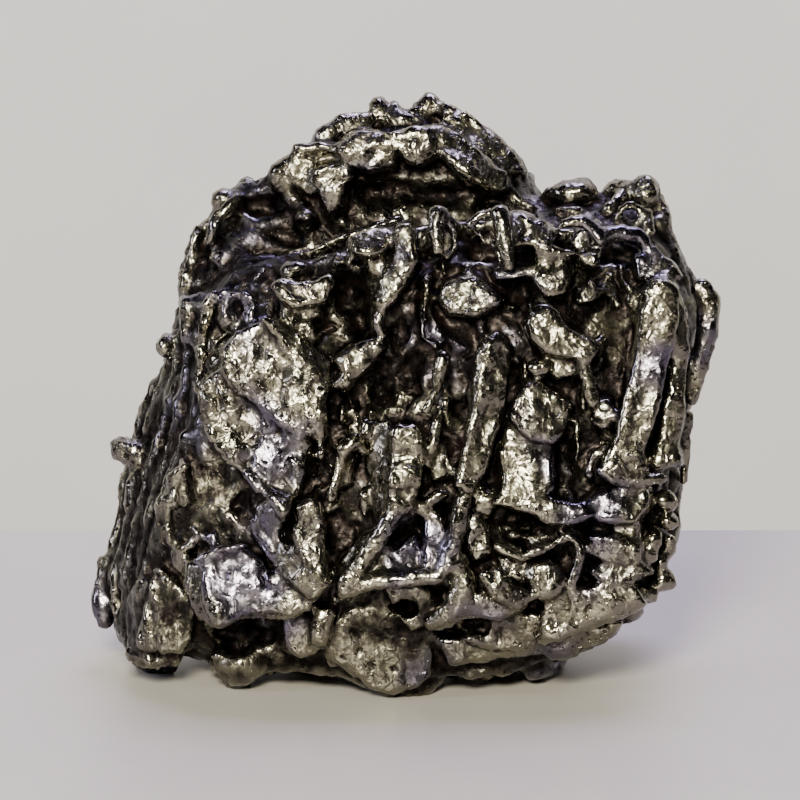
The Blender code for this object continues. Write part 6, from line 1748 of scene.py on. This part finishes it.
class StoneShape(bpy.types.PropertyGroup):
    """Sizes of the fine stone."""

    fuse_voxel: length_property("Fuse voxel", "Grid on which the stone's forms are fused", 0.00026)
    hollow_voxel: length_property("Hollow voxel", "Grid on which the hollows are fused", 0.0003)
    melt_passes: bpy.props.IntProperty(
        name="Melt passes", description="Rounds that soften the edges", default=3, min=0, max=30
    )
    lump_height: length_property("Lump height", "Height of the broad undulations", 0.0004)
    facet_height: length_property("Facet height", "Height of the crumpled facets", 0.00015)
    wrinkle_height: length_property("Wrinkle height", "Height of the sharp crests", 0.00012)
    striation_height: length_property("Striation height", "Depth of the lines along the blades", 0.0002)
    pit_depth: length_property("Pit depth", "Depth of the melt pits", 0.00028)
    rubble_height: length_property("Rubble height", "Roughness of the valleys", 0.00025)
    wall_roughness: length_property("Wall roughness", "Roughness of the hollows' walls", 0.0007)
    triangles: bpy.props.IntProperty(
        name="Triangles", description="Most triangles of the finished stone", default=196000, min=1000
    )


class IronLook(bpy.types.PropertyGroup):
    """Colours and roughness of the iron."""

    plate_colour: colour_property("Plate colour", "Worn bright iron", (0.215, 0.2, 0.155))
    second_plate_colour: colour_property("Second plate colour", "Greyer iron between", (0.13, 0.12, 0.103))
    # Bluish purple in random patches: partly a film on the iron, partly a painted lavender reflection of the
    # overhead light.
    film_and_lavender_sheen: colour_property("Heat tint", "Bluish purple film on the smooth iron", (0.083, 0.071, 0.138))
    # Dark scale together with painted shade: this colour darkens the hollows, sunk valleys, creases, pits and
    # cracks.
    shade_and_scale_colour: colour_property("Hollow colour", "Dark scale in the hollows", (0.006, 0.005, 0.005))
    rust_colour: colour_property("Rust colour", "Red-brown rust", (0.013, 0.0055, 0.0038))
    plate_roughness: bpy.props.FloatProperty(
        name="Plate roughness", description="Roughness of worn iron", subtype="FACTOR", default=0.26
    )
    hollow_roughness: bpy.props.FloatProperty(
        name="Hollow roughness", description="Roughness of dark scale", subtype="FACTOR", default=0.4
    )
    grain_height: length_property("Grain height", "Height of the finest relief", 0.00014)


class TableAndLight(bpy.types.PropertyGroup):
    """The pale table, the backdrop, the camera and the soft lights."""

    table_colour: colour_property("Table colour", "Pale painted table", (0.425, 0.4, 0.368))
    table_shade: colour_property("Table shade", "Its darker clouds", (0.40, 0.375, 0.352))
    backdrop_colour: colour_property("Backdrop colour", "Pale backdrop", (0.80, 0.785, 0.79))
    backdrop_shade: colour_property("Backdrop shade", "Its darker clouds", (0.745, 0.73, 0.74))
    table_depth: length_property("Table depth", "How far the table reaches behind the stone", 0.060)
    camera_distance: length_property("Camera distance", "From the stone's middle to the lens", 0.9)
    view_width: length_property("View width", "Width that the picture shows at the stone", 0.080)
    camera_pitch: bpy.props.FloatProperty(
        name="Camera pitch", description="How far the camera looks down", subtype="ANGLE", default=FACE_LEAN
    )
    key_power: bpy.props.FloatProperty(
        name="Key power", description="Soft light by the camera, in watts", subtype="POWER", default=22.0
    )
    side_power: bpy.props.FloatProperty(
        name="Side power", description="Soft light on the left, in watts", subtype="POWER", default=3.0
    )
    top_power: bpy.props.FloatProperty(
        name="Top power", description="Lavender light overhead, in watts", subtype="POWER", default=6.0
    )


# ---------------------------------------------------------------- operators


class ShapeStone(bpy.types.Operator):
    """Shape the fine stone, dress it in iron and put it in place of the plain solid"""

    bl_idname = "meteorite.shape_stone"
    bl_label = "Shape Stone"

    def execute(self, context):
        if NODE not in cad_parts:
            raise RuntimeError("the frame has no stone to dress")
        scene = context.scene
        stone = build_stone(scene.stone_shape)
        stone.data.materials.clear()
        stone.data.materials.append(
            meteoritic_iron(scene.iron_look, melted_grain_group(), shade_scale_and_rust_masks_group())
        )
        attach(stone, "root")
        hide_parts(NODE)
        return {"FINISHED"}


class LayTable(bpy.types.Operator):
    """Lay the pale table, hang the backdrop, and set the lights and the camera"""

    bl_idname = "meteorite.lay_table"
    bl_label = "Lay Table"

    def execute(self, context):
        stage = context.scene.table_and_light
        mottle = mottle_group()
        table = pale_paint("table_paint", stage.table_colour, stage.table_shade, 0.42, 26.0, mottle)
        cloth = pale_paint("backdrop_paint", stage.backdrop_colour, stage.backdrop_shade, 0.8, 9.0, mottle)
        seen_from_the_front(cloth)
        edge = stage.table_depth
        plain_panel("pale_table", ((-0.9, -0.9, 0), (0.9, -0.9, 0), (0.9, edge, 0), (-0.9, edge, 0)), table)
        behind = edge + 0.3
        plain_panel(
            "pale_backdrop",
            ((-1.2, behind, -0.4), (1.2, behind, -0.4), (1.2, behind, 0.9), (-1.2, behind, 0.9)),
            cloth,
        )
        aim = Vector((0.0, 0.0, 0.028))
        warm, cool, violet = (1.0, 0.95, 0.75), (0.86, 0.86, 1.0), (0.62, 0.56, 1.0)
        soft_light("key_light", aim, (-0.12, -1.0, 0.5), 0.95, (0.19, 0.19), stage.key_power, warm)
        soft_light("side_light", aim, (-1.0, -0.5, 0.5), 0.8, (0.16, 0.3), stage.side_power, cool)
        soft_light("top_light", aim, (0.15, 0.3, 1.0), 0.7, (0.26, 0.26), stage.top_power, violet)
        dim_room((0.55, 0.53, 0.58), 0.03, (0.66, 0.645, 0.65))
        long_lens(stage)
        return {"FINISHED"}


class MeteoritePanel(bpy.types.Panel):
    """Lists the settings and the steps"""

    bl_idname = "VIEW3D_PT_meteorite"
    bl_label = "Iron Meteorite"
    bl_space_type = "VIEW_3D"
    bl_region_type = "UI"
    bl_category = "Meteorite"

    def draw(self, context):
        scene = context.scene
        for settings, steps in (
            (scene.stone_shape, (ShapeStone,)), (scene.iron_look, ()), (scene.table_and_light, (LayTable,)),
        ):
            column = self.layout.column()
            for name in settings.__annotations__:
                column.prop(settings, name)
            for operator in steps:
                column.operator(operator.bl_idname)


CLASSES = (StoneShape, IronLook, TableAndLight, ShapeStone, LayTable, MeteoritePanel)


def register():
    for made in CLASSES:
        bpy.utils.register_class(made)
    bpy.types.Scene.stone_shape = bpy.props.PointerProperty(type=StoneShape)
    bpy.types.Scene.iron_look = bpy.props.PointerProperty(type=IronLook)
    bpy.types.Scene.table_and_light = bpy.props.PointerProperty(type=TableAndLight)


def unregister():
    for name in ("stone_shape", "iron_look", "table_and_light"):
        delattr(bpy.types.Scene, name)
    for made in reversed(CLASSES):
        bpy.utils.unregister_class(made)


def main():
    register()
    bpy.ops.meteorite.shape_stone()
    bpy.ops.meteorite.lay_table()


if __name__ == "__main__":
    main()
